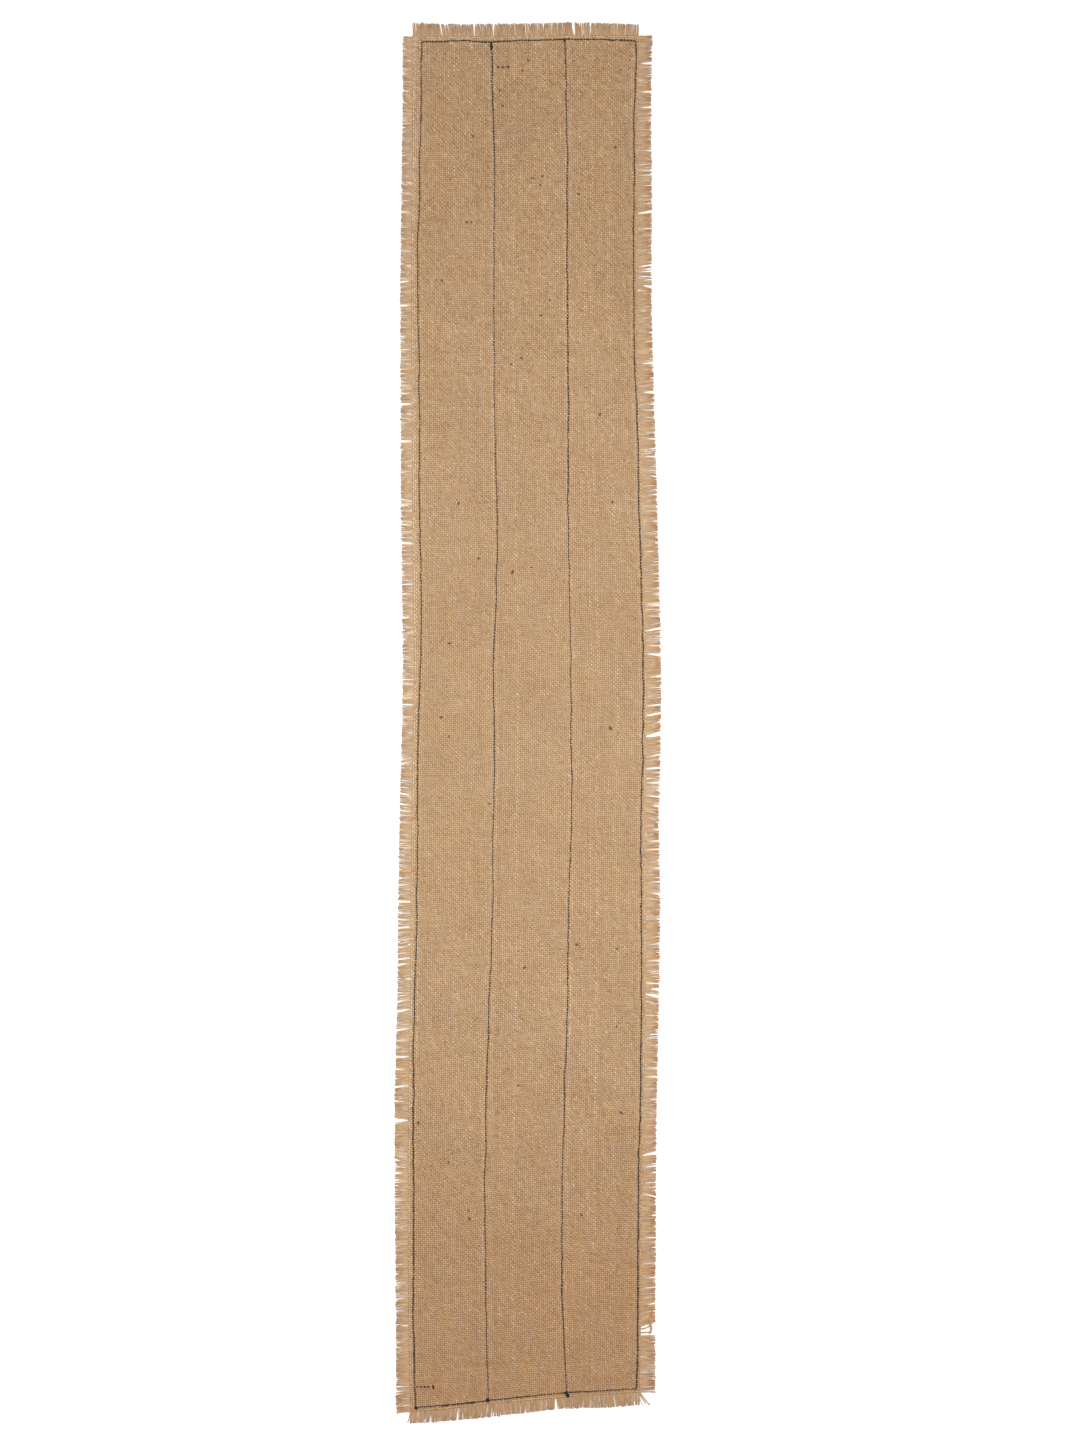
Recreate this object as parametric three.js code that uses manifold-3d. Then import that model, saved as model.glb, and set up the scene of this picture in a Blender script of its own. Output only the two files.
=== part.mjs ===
// Frayed jute table runner: one long strip of plain-woven hessian lying flat, its four
// edges unravelled into a fringe, locked by a dark perimeter seam and divided into three
// long panels by two more seams. Millimetres. +X across, +Y along the length towards the
// head end, +Z up. The origin is the centre of the rectangle that the runner lies in, on
// the surface it lies on.
import * as THREE from "three";
import { mergeVertices } from "three/addons/utils/BufferGeometryUtils.js";
import Module from "manifold-3d";

// ---------------------------------------------------------------- driving dimensions
const CLOTH_T = 1.6; // two crossing jute yarns
const FRINGE_T = 1.0; // one layer of loose yarns
const GAP = 0.3; // clearance kept between neighbouring pieces
const THREAD_W = 1.2; // width of a laid sewing thread with its stitch hump
const NEEDLE_Z0 = 1.45; // needle thread lies in a shallow groove of the face
const NEEDLE_Z1 = 2.05;
const FACE_GROOVE = 0.45; // depth of the groove in the face
const BACK_GROOVE = 0.7; // depth of the groove in the underside
const BOBBIN_W = 1.1;
const BOBBIN_Z0 = 0.08;
const BOBBIN_Z1 = 0.4;
const OVERLAP_STEP = 0.85; // the perimeter seam's start and end lie side by side, each this far off the line
const KNOT_Z0 = 2.35; // a knot piled on a seam
const SLIT_W = 2.4; // mouth of a gap between two tufts of fringe
const SPINE = 1.6; // fringe kept whole next to the cloth
const YARN_R = 0.5; // a single loose yarn

// Outline of the woven ground, clockwise from the head's left corner.
const GROUND_LEFT = [[-150.6, 896.9], [-152.5, 552.1], [-151.2, 290.9], [-148.6, 81.9], [-151.9, -100.9], [-153.8, -362.1], [-156.5, -492.7], [-157.1, -623.3], [-156.5, -753.9], [-155.1, -858.3], [-153.2, -898.8]];
const GROUND_RIGHT = [[143.9, 897.5], [142.6, 682.7], [142.6, 552.1], [145.2, 421.5], [154.4, 55.8], [153.7, -48.6], [151.8, -127.0], [153.1, -231.5], [153.1, -336.0], [150.4, -531.9], [148.5, -623.3], [146.5, -819.2], [145.2, -873.4]];
const GROUND_HEAD = [[-150.6, 896.9], [-49.4, 896.2], [47.3, 897.5], [143.9, 897.5]];
const GROUND_FOOT = [[-153.2, -898.8], [-108.1, -895.6], [-53.3, -889.0], [49.9, -879.9], [145.2, -873.4]];

// Cut line of the fringe on each side.
const TIP_LEFT = [[-163.0, 896.9], [-163.0, 813.3], [-166.4, 578.2], [-165.6, 290.9], [-163.0, 81.9], [-163.8, 3.6], [-166.9, -100.9], [-169.0, -231.5], [-170.2, -362.1], [-173.4, -466.6], [-173.4, -623.3], [-172.1, -727.7], [-171.5, -898.8]];
const TIP_RIGHT = [[161.5, 897.5], [160.0, 813.3], [160.9, 682.7], [160.6, 552.1], [168.1, 290.9], [173.4, 55.8], [172.0, -48.6], [170.0, -127.0], [172.0, -231.5], [170.8, -336.0], [166.8, -531.9], [165.5, -753.9], [165.5, -873.4]];
const TIP_HEAD = [[-150.6, 914.0], [-114.7, 912.3], [-62.4, 912.0], [15.9, 913.3], [55.1, 914.5], [143.1, 912.0]];
const TIP_FOOT = [[-153.5, -914.5], [-62.4, -907.3], [42.1, -895.2], [94.3, -893.9], [143.3, -890.5]];

// Gaps between tufts: place along the edge, and how deep each runs in from the cut line.
const SLITS_LEFT = [[761.0, 11.8], [665.7, 6.5], [576.9, 9.1], [545.6, 10.4], [463.3, 13.1], [416.3, 15.7], [366.6, 15.7], [259.6, 13.1], [234.7, 15.7], [138.1, 7.8], [50.6, 14.4], [33.6, 13.1], [24.5, 13.1], [-113.9, 13.1], [-129.6, 13.1], [-145.3, 11.8], [-170.1, 15.7], [-187.1, 14.4], [-210.6, 14.4], [-232.8, 15.7], [-266.7, 14.4], [-311.0, 15.7], [-362.1, 14.4], [-376.4, 13.1], [-402.6, 15.7], [-414.3, 15.7], [-436.5, 15.7], [-450.9, 11.8], [-474.4, 15.7], [-518.8, 15.7], [-586.7, 7.8], [-730.4, 13.1], [-786.5, 13.1]];
const SLITS_RIGHT = [[864.2, 11.8], [859.0, 14.4], [715.3, 14.4], [668.3, 9.1], [569.1, 9.1], [528.6, 14.4], [447.6, 10.4], [434.6, 14.4], [428.0, 11.8], [379.7, 10.4], [371.9, 7.8], [348.4, 9.1], [322.2, 7.8], [297.4, 10.4], [290.9, 11.8], [156.4, 15.7], [98.9, 11.8], [91.1, 14.4], [59.7, 10.4], [23.2, 13.1], [15.3, 9.1], [-16.0, 13.1], [-59.1, 15.7], [-77.4, 14.4], [-86.5, 13.1], [-95.7, 14.4], [-138.8, 14.4], [-151.8, 14.4], [-189.7, 6.5], [-214.5, 15.7], [-230.2, 10.4], [-309.8, 15.7], [-324.2, 15.7], [-338.6, 15.7], [-346.4, 14.4], [-355.5, 14.4], [-450.9, 15.7], [-517.5, 15.7], [-527.9, 13.1], [-565.8, 14.4], [-578.9, 15.7], [-598.5, 9.1], [-618.0, 10.4], [-628.5, 13.1], [-658.5, 15.7], [-671.6, 15.7], [-723.8, 11.8], [-759.1, 6.5], [-768.2, 10.4]];
const SLITS_HEAD = [[-147.3, 11.8], [-113.4, 14.4], [-104.2, 6.5], [-69.0, 13.1], [-45.4, 14.4], [-37.6, 13.1], [30.3, 7.8], [59.0, 11.8], [81.2, 14.4]];
const SLITS_FOOT = [[-91.2, 14.4], [17.2, 7.8], [36.8, 14.4], [49.9, 10.4], [69.5, 11.8], [83.8, 10.4], [115.2, 11.8]];
// The wide gap in the right fringe that holds a curled yarn: from, to, innermost x.
const CURL_GAP = { top: -783.2, bottom: -797.2, inner: 153.0 };

// Stitch lines.
const SEAM_LEFT = [[-139.0, 889.8], [-140.4, 847.2], [-139.5, 813.3], [-141.3, 748.0], [-141.8, 682.7], [-144.3, 622.6], [-141.8, 395.4], [-142.1, 304.0], [-139.6, 147.2], [-140.1, 88.5], [-144.0, -35.6], [-145.2, -226.3], [-149.9, -427.4], [-149.7, -492.7], [-151.0, -558.0], [-149.5, -623.3], [-150.2, -753.9], [-147.6, -880.0], [-147.3, -894.0]];
const SEAM_RIGHT = [[140.1, 891.3], [141.0, 862.9], [137.8, 789.8], [138.6, 741.5], [137.1, 622.6], [138.3, 486.8], [143.4, 356.2], [143.9, 290.9], [146.8, 230.8], [149.7, 100.2], [150.2, 29.7], [149.5, -48.6], [147.3, -107.4], [146.5, -166.2], [147.8, -231.5], [147.8, -362.1], [146.8, -492.7], [144.3, -552.7], [143.3, -623.3], [142.6, -813.9], [141.4, -869.6]];
const SEAM_HEAD = [[-139.0, 889.8], [-87.2, 890.9], [-61.1, 890.1], [-35.0, 890.3], [69.5, 892.8], [140.1, 891.3]];
const SEAM_FOOT = [[-147.3, -894.0], [-70.3, -887.3], [34.2, -875.8], [60.3, -873.9], [141.4, -869.6]];
const SEAM_INNER_LEFT = [[-48.2, 876.0], [-45.8, 784.6], [-43.7, 741.5], [-44.8, 526.0], [-44.1, 434.6], [-40.7, 277.8], [-40.9, 212.5], [-41.8, 160.3], [-44.8, 101.5], [-45.4, 34.9], [-44.3, -22.5], [-46.5, -166.2], [-46.5, -231.5], [-53.4, -433.9], [-56.8, -618.0], [-52.6, -883.9]];
const SEAM_INNER_RIGHT = [[48.3, 890.9], [51.7, 734.9], [50.4, 591.3], [52.2, 408.4], [52.4, 225.6], [55.2, 95.0], [56.9, -100.9], [53.0, -231.5], [51.6, -362.1], [43.9, -623.3], [44.1, -753.9], [50.3, -873.2]];
const TACK_HEAD = [[-40.2, 856.5], [-25.2, 856.9]];
const TACK_FOOT = [[-146.0, -866.3], [-122.5, -866.2]];
const SEAM_START_X = -69.0; // the perimeter seam starts and ends here, having run past its own corner

// Backtacks: thread sewn to and fro at a seam's end, as bars with round ends.
const BACKTACK_HEAD_INNER_LEFT = [[-48.7, 886.9], [-48.3, 877.4]];
const BACKTACK_FOOT_INNER_RIGHT = [[50.2, -872.0], [51.3, -878.6]];
const BACKTACK_W = 2.0;
const KNOT_HEAD_INNER_RIGHT = [47.6, 892.3];
const KNOT_FOOT_INNER_LEFT = [-52.6, -885.3];
const KNOT_CORNER = [-147.3, -894.6];

// Loose yarns lying in the open corner squares, and the curled one.
const LOOSE_FOOT_RIGHT_LONG = [[147.5, -876.0], [151.2, -881.6], [155.4, -886.4], [159.0, -889.8]];
const LOOSE_FOOT_RIGHT_MIDDLE = [[146.9, -878.6], [149.6, -883.6], [152.4, -887.4], [154.8, -889.9]];
const LOOSE_FOOT_RIGHT_SHORT = [[146.3, -883.4], [147.6, -887.2], [149.2, -890.4]];
const LOOSE_FOOT_LEFT = [[-154.6, -901.2], [-155.0, -906.4], [-156.4, -910.8], [-158.0, -913.6]];
const CURLED_YARN = [[163.3, -784.4], [163.2, -788.2], [161.8, -791.8], [159.4, -794.8]];

// ---------------------------------------------------------------- materials
const jute = new THREE.MeshStandardMaterial({ color: 0xbe9a74, roughness: 0.95, metalness: 0 });
const juteFringe = new THREE.MeshStandardMaterial({ color: 0xc39a6e, roughness: 0.95, metalness: 0 });
const darkThread = new THREE.MeshStandardMaterial({ color: 0x2a221c, roughness: 0.8, metalness: 0 });

// ---------------------------------------------------------------- helpers
const wasm = await Module();
wasm.setup();
const runner = new THREE.Group();

const v2 = ([x, y]) => new THREE.Vector2(x, y);
const shapeOf = (points) => new THREE.Shape(points.map(v2));

// x of a lengthwise line at height y, or y of a crosswise line at x (axis picks which runs).
function along(line, at, axis) {
  const other = 1 - axis;
  const pts = [...line].sort((a, b) => a[axis] - b[axis]);
  if (at <= pts[0][axis]) return pts[0][other];
  for (let i = 1; i < pts.length; i++)
    if (at <= pts[i][axis]) {
      const t = (at - pts[i - 1][axis]) / (pts[i][axis] - pts[i - 1][axis]);
      return pts[i - 1][other] + t * (pts[i][other] - pts[i - 1][other]);
    }
  return pts[pts.length - 1][other];
}

// Closed outline of a band of a given width along an open line, mitred at its corners.
function band(line, width, extend = 0) {
  const p = line.map(v2);
  if (extend) {
    const a = p[0].clone().sub(p[1]).setLength(extend), n = p.length;
    const b = p[n - 1].clone().sub(p[n - 2]).setLength(extend);
    p[0].add(a);
    p[n - 1].add(b);
  }
  const left = [], right = [];
  for (let i = 0; i < p.length; i++) {
    const d0 = (i ? p[i].clone().sub(p[i - 1]) : p[1].clone().sub(p[0])).normalize();
    const d1 = (i < p.length - 1 ? p[i + 1].clone().sub(p[i]) : d0.clone()).normalize();
    const n0 = new THREE.Vector2(-d0.y, d0.x), n1 = new THREE.Vector2(-d1.y, d1.x);
    const m = n0.clone().add(n1).normalize();
    const k = width / 2 / Math.max(0.3, m.dot(n0));
    left.push([p[i].x + m.x * k, p[i].y + m.y * k]);
    right.push([p[i].x - m.x * k, p[i].y - m.y * k]);
  }
  return [...right, ...left.reverse()];
}

// A bar of a given width with round ends, between two points.
function stadium([a, b], width, steps = 6) {
  const A = v2(a), B = v2(b), u = B.clone().sub(A).angle(), pts = [];
  for (let i = 0; i <= steps; i++) {
    const t = u - Math.PI / 2 + (Math.PI * i) / steps;
    pts.push([B.x + (Math.cos(t) * width) / 2, B.y + (Math.sin(t) * width) / 2]);
  }
  for (let i = 0; i <= steps; i++) {
    const t = u + Math.PI / 2 + (Math.PI * i) / steps;
    pts.push([A.x + (Math.cos(t) * width) / 2, A.y + (Math.sin(t) * width) / 2]);
  }
  return pts;
}

function slab(points, z0, z1, round = 0) {
  const g = new THREE.ExtrudeGeometry(shapeOf(points), {
    depth: z1 - z0 - 2 * round,
    bevelEnabled: round > 0,
    bevelThickness: round,
    bevelSize: round,
    bevelOffset: -round,
    bevelSegments: 1,
    curveSegments: 4,
  });
  g.translate(0, 0, z0 + round);
  return g;
}

function solid(geometry) {
  const g = geometry.index ? geometry.toNonIndexed() : geometry.clone();
  g.deleteAttribute("normal");
  g.deleteAttribute("uv");
  const m = mergeVertices(g, 1e-3);
  return new wasm.Manifold(
    new wasm.Mesh({
      numProp: 3,
      vertProperties: new Float32Array(m.attributes.position.array),
      triVerts: new Uint32Array(m.index.array),
    }),
  );
}

function surface(manifold) {
  const m = manifold.getMesh(), g = new THREE.BufferGeometry();
  g.setAttribute("position", new THREE.BufferAttribute(new Float32Array(m.vertProperties), 3));
  g.setIndex(new THREE.BufferAttribute(new Uint32Array(m.triVerts), 1));
  g.computeVertexNormals();
  return g;
}

function piece(name, geometry, material, x = 0, y = 0, z = 0) {
  const mesh = new THREE.Mesh(geometry, material);
  mesh.name = name;
  mesh.position.set(x, y, z);
  runner.add(mesh);
  return mesh;
}

// ---------------------------------------------------------------- perimeter seam route
// One run of thread: along the foot's left part, round the four corners, and back over
// its own start.
const footAt = (x) => along(SEAM_FOOT, x, 0);
const shift = (x, d) => [x, footAt(x) + d];
const START_RUN = [shift(SEAM_START_X, -OVERLAP_STEP), [SEAM_FOOT[0][0], SEAM_FOOT[0][1] - OVERLAP_STEP]];
const END_RUN = [shift(SEAM_START_X + 6, 0), shift(SEAM_START_X, OVERLAP_STEP), shift(SEAM_FOOT[0][0] + 2.4, OVERLAP_STEP)];
const PERIMETER = [
  ...START_RUN,
  ...SEAM_LEFT.slice(0, -1).reverse(),
  ...SEAM_HEAD.slice(1, -1),
  ...SEAM_RIGHT,
  ...SEAM_FOOT.slice(2, -1).reverse(),
  ...END_RUN,
];

// ---------------------------------------------------------------- woven ground
const groundOutline = [
  ...GROUND_LEFT,
  ...GROUND_FOOT.slice(1),
  ...[...GROUND_RIGHT].reverse().slice(1),
  ...GROUND_HEAD.slice(1, -1).reverse(),
];
let ground = solid(slab(groundOutline, 0, CLOTH_T));
const grooveW = THREAD_W + 2 * GAP;
const grooves = [
  [SEAM_LEFT, grooveW],
  [SEAM_HEAD, grooveW],
  [SEAM_RIGHT, grooveW],
  [SEAM_FOOT.slice(1), grooveW],
  [START_RUN, grooveW],
  [[[END_RUN[0][0] + 3, END_RUN[0][1] + 0.3], ...END_RUN.slice(1)], grooveW],
  [SEAM_INNER_LEFT, grooveW],
  [SEAM_INNER_RIGHT, grooveW],
  [TACK_HEAD, grooveW],
  [TACK_FOOT, grooveW],
];
for (const [line, width] of grooves) {
  const outline = band(line, width, width / 2);
  ground = ground.subtract(solid(slab(outline, CLOTH_T - FACE_GROOVE, CLOTH_T + 1)));
  ground = ground.subtract(solid(slab(outline, -1, BACK_GROOVE)));
}
ground = ground.subtract(
  solid(slab(stadium(BACKTACK_HEAD_INNER_LEFT, BACKTACK_W + 2 * GAP), CLOTH_T - FACE_GROOVE, CLOTH_T + 1)),
);
piece("ground_cloth", surface(ground), jute);

// ---------------------------------------------------------------- fringes
// A comb along one edge: its root follows the ground, its tips follow the cut line.
function comb(root, tip, slits, axis, side, extra) {
  const at = (line, s) => along(line, s, axis);
  const point = (s, across) => (axis ? [across, s] : [s, across]);
  const first = tip[0][axis], last = tip[tip.length - 1][axis];
  const dir = Math.sign(last - first);
  const marks = [];
  for (const q of tip) marks.push({ s: q[axis], p: [q] });
  for (const [s, depth] of slits) {
    const a = s - (dir * SLIT_W) / 2, b = s + (dir * SLIT_W) / 2;
    const edge = at(tip, s), limit = at(root, s) + side * (GAP + SPINE);
    const inner = side > 0 ? Math.max(limit, edge - depth) : Math.min(limit, edge + depth);
    marks.push({ s: a, p: [point(a, at(tip, a)), point(s, inner), point(b, at(tip, b))], from: a, to: b });
  }
  if (extra) {
    const { top, bottom, inner } = extra;
    marks.push({ s: top, from: top, to: bottom, p: [point(top, at(tip, top)), point(top - 0.8, inner), point(bottom + 0.8, inner), point(bottom, at(tip, bottom))] });
  }
  const inside = (m) => marks.some((o) => o !== m && o.from !== undefined && m.from === undefined && dir * (m.s - o.from) > -0.05 && dir * (o.to - m.s) > -0.05);
  const tips = marks.filter((m) => !inside(m)).sort((a, b) => dir * (a.s - b.s)).flatMap((m) => m.p);
  const roots = [...root].reverse().map(([x, y]) => (axis ? [x + side * GAP, y] : [x, y + side * GAP]));
  let outline = [...tips, ...roots];
  if (THREE.ShapeUtils.isClockWise(outline.map(v2))) outline = outline.reverse();
  return slab(outline, 0, FRINGE_T);
}
piece("fringe_left", comb(GROUND_LEFT, TIP_LEFT, SLITS_LEFT, 1, -1), juteFringe);
piece("fringe_right", comb(GROUND_RIGHT, TIP_RIGHT, SLITS_RIGHT, 1, 1, CURL_GAP), juteFringe);
piece("fringe_head", comb(GROUND_HEAD, TIP_HEAD, SLITS_HEAD, 0, 1), juteFringe);
piece("fringe_foot", comb(GROUND_FOOT, TIP_FOOT, SLITS_FOOT, 0, -1), juteFringe);

// ---------------------------------------------------------------- seams
// Each lockstitch seam is two threads: the needle thread on the face, the bobbin thread
// on the underside, both pulled a little into the cloth.
function seam(name, line) {
  const h = NEEDLE_Z1 - NEEDLE_Z0;
  piece(name + "_needle_thread", slab(band(line, THREAD_W), 0, h, 0.2), darkThread, 0, 0, NEEDLE_Z0);
  piece(name + "_bobbin_thread", slab(band(line, BOBBIN_W), 0, BOBBIN_Z1 - BOBBIN_Z0), darkThread, 0, 0, BOBBIN_Z0);
}
seam("perimeter_seam", PERIMETER);
seam("inner_left_seam", SEAM_INNER_LEFT);
seam("inner_right_seam", SEAM_INNER_RIGHT);
seam("head_tack_row", TACK_HEAD);
seam("foot_tack_row", TACK_FOOT);

// ---------------------------------------------------------------- backtacks
piece("backtack_head_inner_left", slab(stadium(BACKTACK_HEAD_INNER_LEFT, BACKTACK_W), 0, 1.2, 0.35), darkThread, 0, 0, NEEDLE_Z0);
piece("backtack_foot_inner_right", slab(stadium(BACKTACK_FOOT_INNER_RIGHT, BACKTACK_W), 0, 0.9, 0.3), darkThread, 0, 0, KNOT_Z0);
function knot(name, [x, y], across) {
  const g = new THREE.SphereGeometry(across / 2, 10, 6);
  g.rotateX(Math.PI / 2);
  g.scale(1, 1.15, 0.32);
  g.computeBoundingBox();
  piece(name, g, darkThread, x, y, KNOT_Z0 - g.boundingBox.min.z);
}
knot("backtack_head_inner_right", KNOT_HEAD_INNER_RIGHT, 2.8);
knot("backtack_foot_inner_left", KNOT_FOOT_INNER_LEFT, 2.6);
knot("backtack_foot_left_corner", KNOT_CORNER, 2.8);

// ---------------------------------------------------------------- loose yarns
function yarn(name, points, radius, steps) {
  const path = new THREE.CatmullRomCurve3(points.map(([x, y]) => new THREE.Vector3(x, y, radius + 0.1)));
  const section = new THREE.Shape();
  for (let i = 0; i < 8; i++) {
    const t = (i / 8) * 2 * Math.PI, q = [radius * Math.cos(t), radius * Math.sin(t)];
    i ? section.lineTo(...q) : section.moveTo(...q);
  }
  section.closePath();
  piece(name, new THREE.ExtrudeGeometry(section, { steps, extrudePath: path, curveSegments: 1 }), juteFringe);
}
yarn("loose_yarn_foot_right_long", LOOSE_FOOT_RIGHT_LONG, YARN_R, 6);
yarn("loose_yarn_foot_right_middle", LOOSE_FOOT_RIGHT_MIDDLE, YARN_R * 0.8, 6);
yarn("loose_yarn_foot_right_short", LOOSE_FOOT_RIGHT_SHORT, YARN_R * 0.7, 4);
yarn("loose_yarn_foot_left", LOOSE_FOOT_LEFT, YARN_R * 0.8, 6);
yarn("curled_yarn_right", CURLED_YARN, YARN_R * 1.2, 8);

export default runner;
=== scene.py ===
# Frayed jute table runner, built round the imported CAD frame. Metres in Blender, millimetres
# in the tables. Every yarn, fringe strand and stitch is mesh; the random numbers are seeded.
import math

import bpy
import numpy as np
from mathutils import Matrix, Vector


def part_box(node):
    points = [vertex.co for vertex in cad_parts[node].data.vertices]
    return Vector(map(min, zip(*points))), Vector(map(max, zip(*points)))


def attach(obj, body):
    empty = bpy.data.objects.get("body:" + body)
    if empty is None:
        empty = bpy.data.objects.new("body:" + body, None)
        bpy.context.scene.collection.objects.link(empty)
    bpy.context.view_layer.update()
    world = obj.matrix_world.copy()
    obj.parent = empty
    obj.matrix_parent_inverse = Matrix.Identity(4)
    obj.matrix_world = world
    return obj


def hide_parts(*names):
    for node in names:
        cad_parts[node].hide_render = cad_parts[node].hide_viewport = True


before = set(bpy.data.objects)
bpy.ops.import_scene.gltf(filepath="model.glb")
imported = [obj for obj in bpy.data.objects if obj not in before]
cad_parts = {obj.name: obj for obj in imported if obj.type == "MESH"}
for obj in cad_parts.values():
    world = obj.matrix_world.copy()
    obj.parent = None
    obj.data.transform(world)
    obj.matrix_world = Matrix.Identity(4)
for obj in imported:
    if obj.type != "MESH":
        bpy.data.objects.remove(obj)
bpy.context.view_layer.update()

MM = 0.001

# ------------------------------------------------------------------ lines of the object (mm)
# The same lines as the CAD source: stitch lines, woven outline (ROOT) and cut line of the
# fringe (TIP). SLITS are the openings between tufts: place at the root and tip end, depths
# where they start and stop (0 root, 1 tip), mean width.
LEFT = [[-139.0, 888.4], [-140.4, 847.2], [-139.5, 813.3], [-141.3, 748.0], [-141.8, 682.7], [-144.3, 622.6], [-143.9, 557.3], [-143.0, 492.0], [-141.8, 395.4], [-142.1, 304.0], [-140.5, 230.8], [-139.6, 147.2], [-140.1, 88.5], [-142.1, 29.7], [-144.0, -35.6], [-145.0, -127.0], [-145.2, -226.3], [-146.8, -296.8], [-148.2, -362.1], [-149.9, -427.4], [-149.7, -492.7], [-151.0, -558.0], [-149.5, -623.3], [-149.9, -688.6], [-150.2, -753.9], [-149.1, -813.9], [-147.3, -892.3]]
INNER_LEFT = [[-47.8, 887.7], [-47.0, 836.8], [-45.8, 784.6], [-43.7, 741.5], [-44.1, 682.7], [-44.9, 617.4], [-44.8, 526.0], [-44.1, 434.6], [-42.4, 356.2], [-40.7, 277.8], [-40.9, 212.5], [-41.8, 160.3], [-44.8, 101.5], [-45.4, 34.9], [-44.3, -22.5], [-45.1, -100.9], [-46.5, -166.2], [-46.5, -231.5], [-48.3, -291.6], [-50.7, -362.1], [-53.4, -433.9], [-55.2, -505.7], [-55.6, -558.0], [-56.8, -618.0], [-55.9, -688.6], [-55.1, -753.9], [-53.7, -817.9], [-52.6, -885.1]]
INNER_RIGHT = [[48.2, 891.0], [48.8, 836.8], [50.0, 784.6], [51.7, 734.9], [50.9, 682.7], [50.4, 591.3], [51.2, 499.9], [52.2, 408.4], [52.5, 290.9], [52.4, 225.6], [54.1, 160.3], [55.2, 95.0], [55.6, 29.7], [56.7, -48.6], [56.9, -100.9], [55.1, -166.2], [53.0, -231.5], [52.1, -296.8], [51.6, -362.1], [49.2, -422.2], [47.1, -492.7], [45.7, -558.0], [43.9, -623.3], [43.6, -701.6], [44.1, -753.9], [47.1, -813.9], [50.5, -879.2]]
RIGHT = [[140.1, 890.3], [141.0, 862.9], [139.3, 826.3], [137.8, 789.8], [138.6, 741.5], [137.8, 687.9], [137.1, 622.6], [138.0, 552.1], [138.3, 486.8], [141.0, 421.5], [143.4, 356.2], [143.9, 290.9], [146.8, 230.8], [147.8, 160.3], [149.7, 100.2], [150.2, 29.7], [149.5, -48.6], [147.3, -107.4], [146.5, -166.2], [147.8, -231.5], [147.7, -296.8], [147.8, -362.1], [146.8, -440.4], [146.8, -492.7], [144.3, -552.7], [143.3, -623.3], [143.0, -701.6], [142.6, -753.9], [142.6, -813.9], [141.4, -869.6]]
HEAD = [[-139.0, 889.8], [-113.4, 890.6], [-87.2, 890.9], [-61.1, 890.1], [-35.0, 890.3], [-8.9, 891.1], [17.2, 891.5], [46.0, 892.6], [69.5, 892.8], [95.6, 892.4], [121.7, 891.8], [140.1, 891.3]]
FOOT = [[-147.3, -894.0], [-122.5, -891.8], [-96.4, -889.6], [-70.3, -887.3], [-44.1, -884.1], [-18.0, -881.2], [8.1, -878.5], [34.2, -875.8], [60.3, -873.9], [86.5, -872.6], [112.6, -871.1], [141.4, -869.6]]
ROOTL = [[-150.6, 896.9], [-150.8, 813.3], [-151.9, 682.7], [-152.5, 552.1], [-151.9, 421.5], [-151.2, 290.9], [-149.9, 160.3], [-148.6, 81.9], [-149.9, 3.6], [-151.9, -100.9], [-153.2, -231.5], [-153.8, -362.1], [-156.5, -492.7], [-157.1, -623.3], [-156.5, -753.9], [-155.1, -858.3], [-153.2, -898.8]]
TIPL = [[-163.0, 896.9], [-163.0, 813.3], [-164.9, 682.7], [-166.4, 578.2], [-165.9, 421.5], [-165.6, 290.9], [-163.8, 160.3], [-163.0, 81.9], [-163.8, 3.6], [-166.9, -100.9], [-169.0, -231.5], [-170.2, -362.1], [-173.4, -466.6], [-173.4, -623.3], [-172.1, -727.7], [-171.5, -898.8]]
ROOTR = [[143.9, 897.5], [143.3, 813.3], [142.6, 682.7], [142.6, 552.1], [145.2, 421.5], [148.5, 290.9], [151.8, 160.3], [154.4, 55.8], [153.7, -48.6], [151.8, -127.0], [153.1, -231.5], [153.1, -336.0], [151.8, -440.4], [150.4, -531.9], [148.5, -623.3], [147.2, -753.9], [146.5, -819.2], [145.2, -873.4]]
TIPR = [[161.5, 897.5], [160.0, 813.3], [160.9, 682.7], [160.6, 552.1], [164.2, 421.5], [168.1, 290.9], [171.3, 160.3], [173.4, 55.8], [172.0, -48.6], [170.0, -127.0], [172.0, -231.5], [170.8, -336.0], [168.7, -440.4], [166.8, -531.9], [166.5, -623.3], [165.5, -753.9], [165.5, -873.4]]
ROOTH = [[-150.6, 896.9], [-49.4, 896.2], [47.3, 897.5], [143.9, 897.5]]
TIPH = [[-150.6, 914.0], [-146.0, 913.6], [-114.7, 912.3], [-62.4, 912.0], [-36.3, 912.5], [15.9, 913.3], [55.1, 914.5], [94.3, 913.3], [143.1, 912.0]]
ROOTF = [[-153.2, -898.8], [-108.1, -895.6], [-53.3, -889.0], [4.2, -883.8], [49.9, -879.9], [94.3, -876.6], [145.2, -873.4]]
TIPF = [[-153.5, -914.5], [-127.7, -912.8], [-62.4, -907.3], [2.9, -899.5], [42.1, -895.2], [94.3, -893.9], [143.3, -890.5]]
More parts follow.
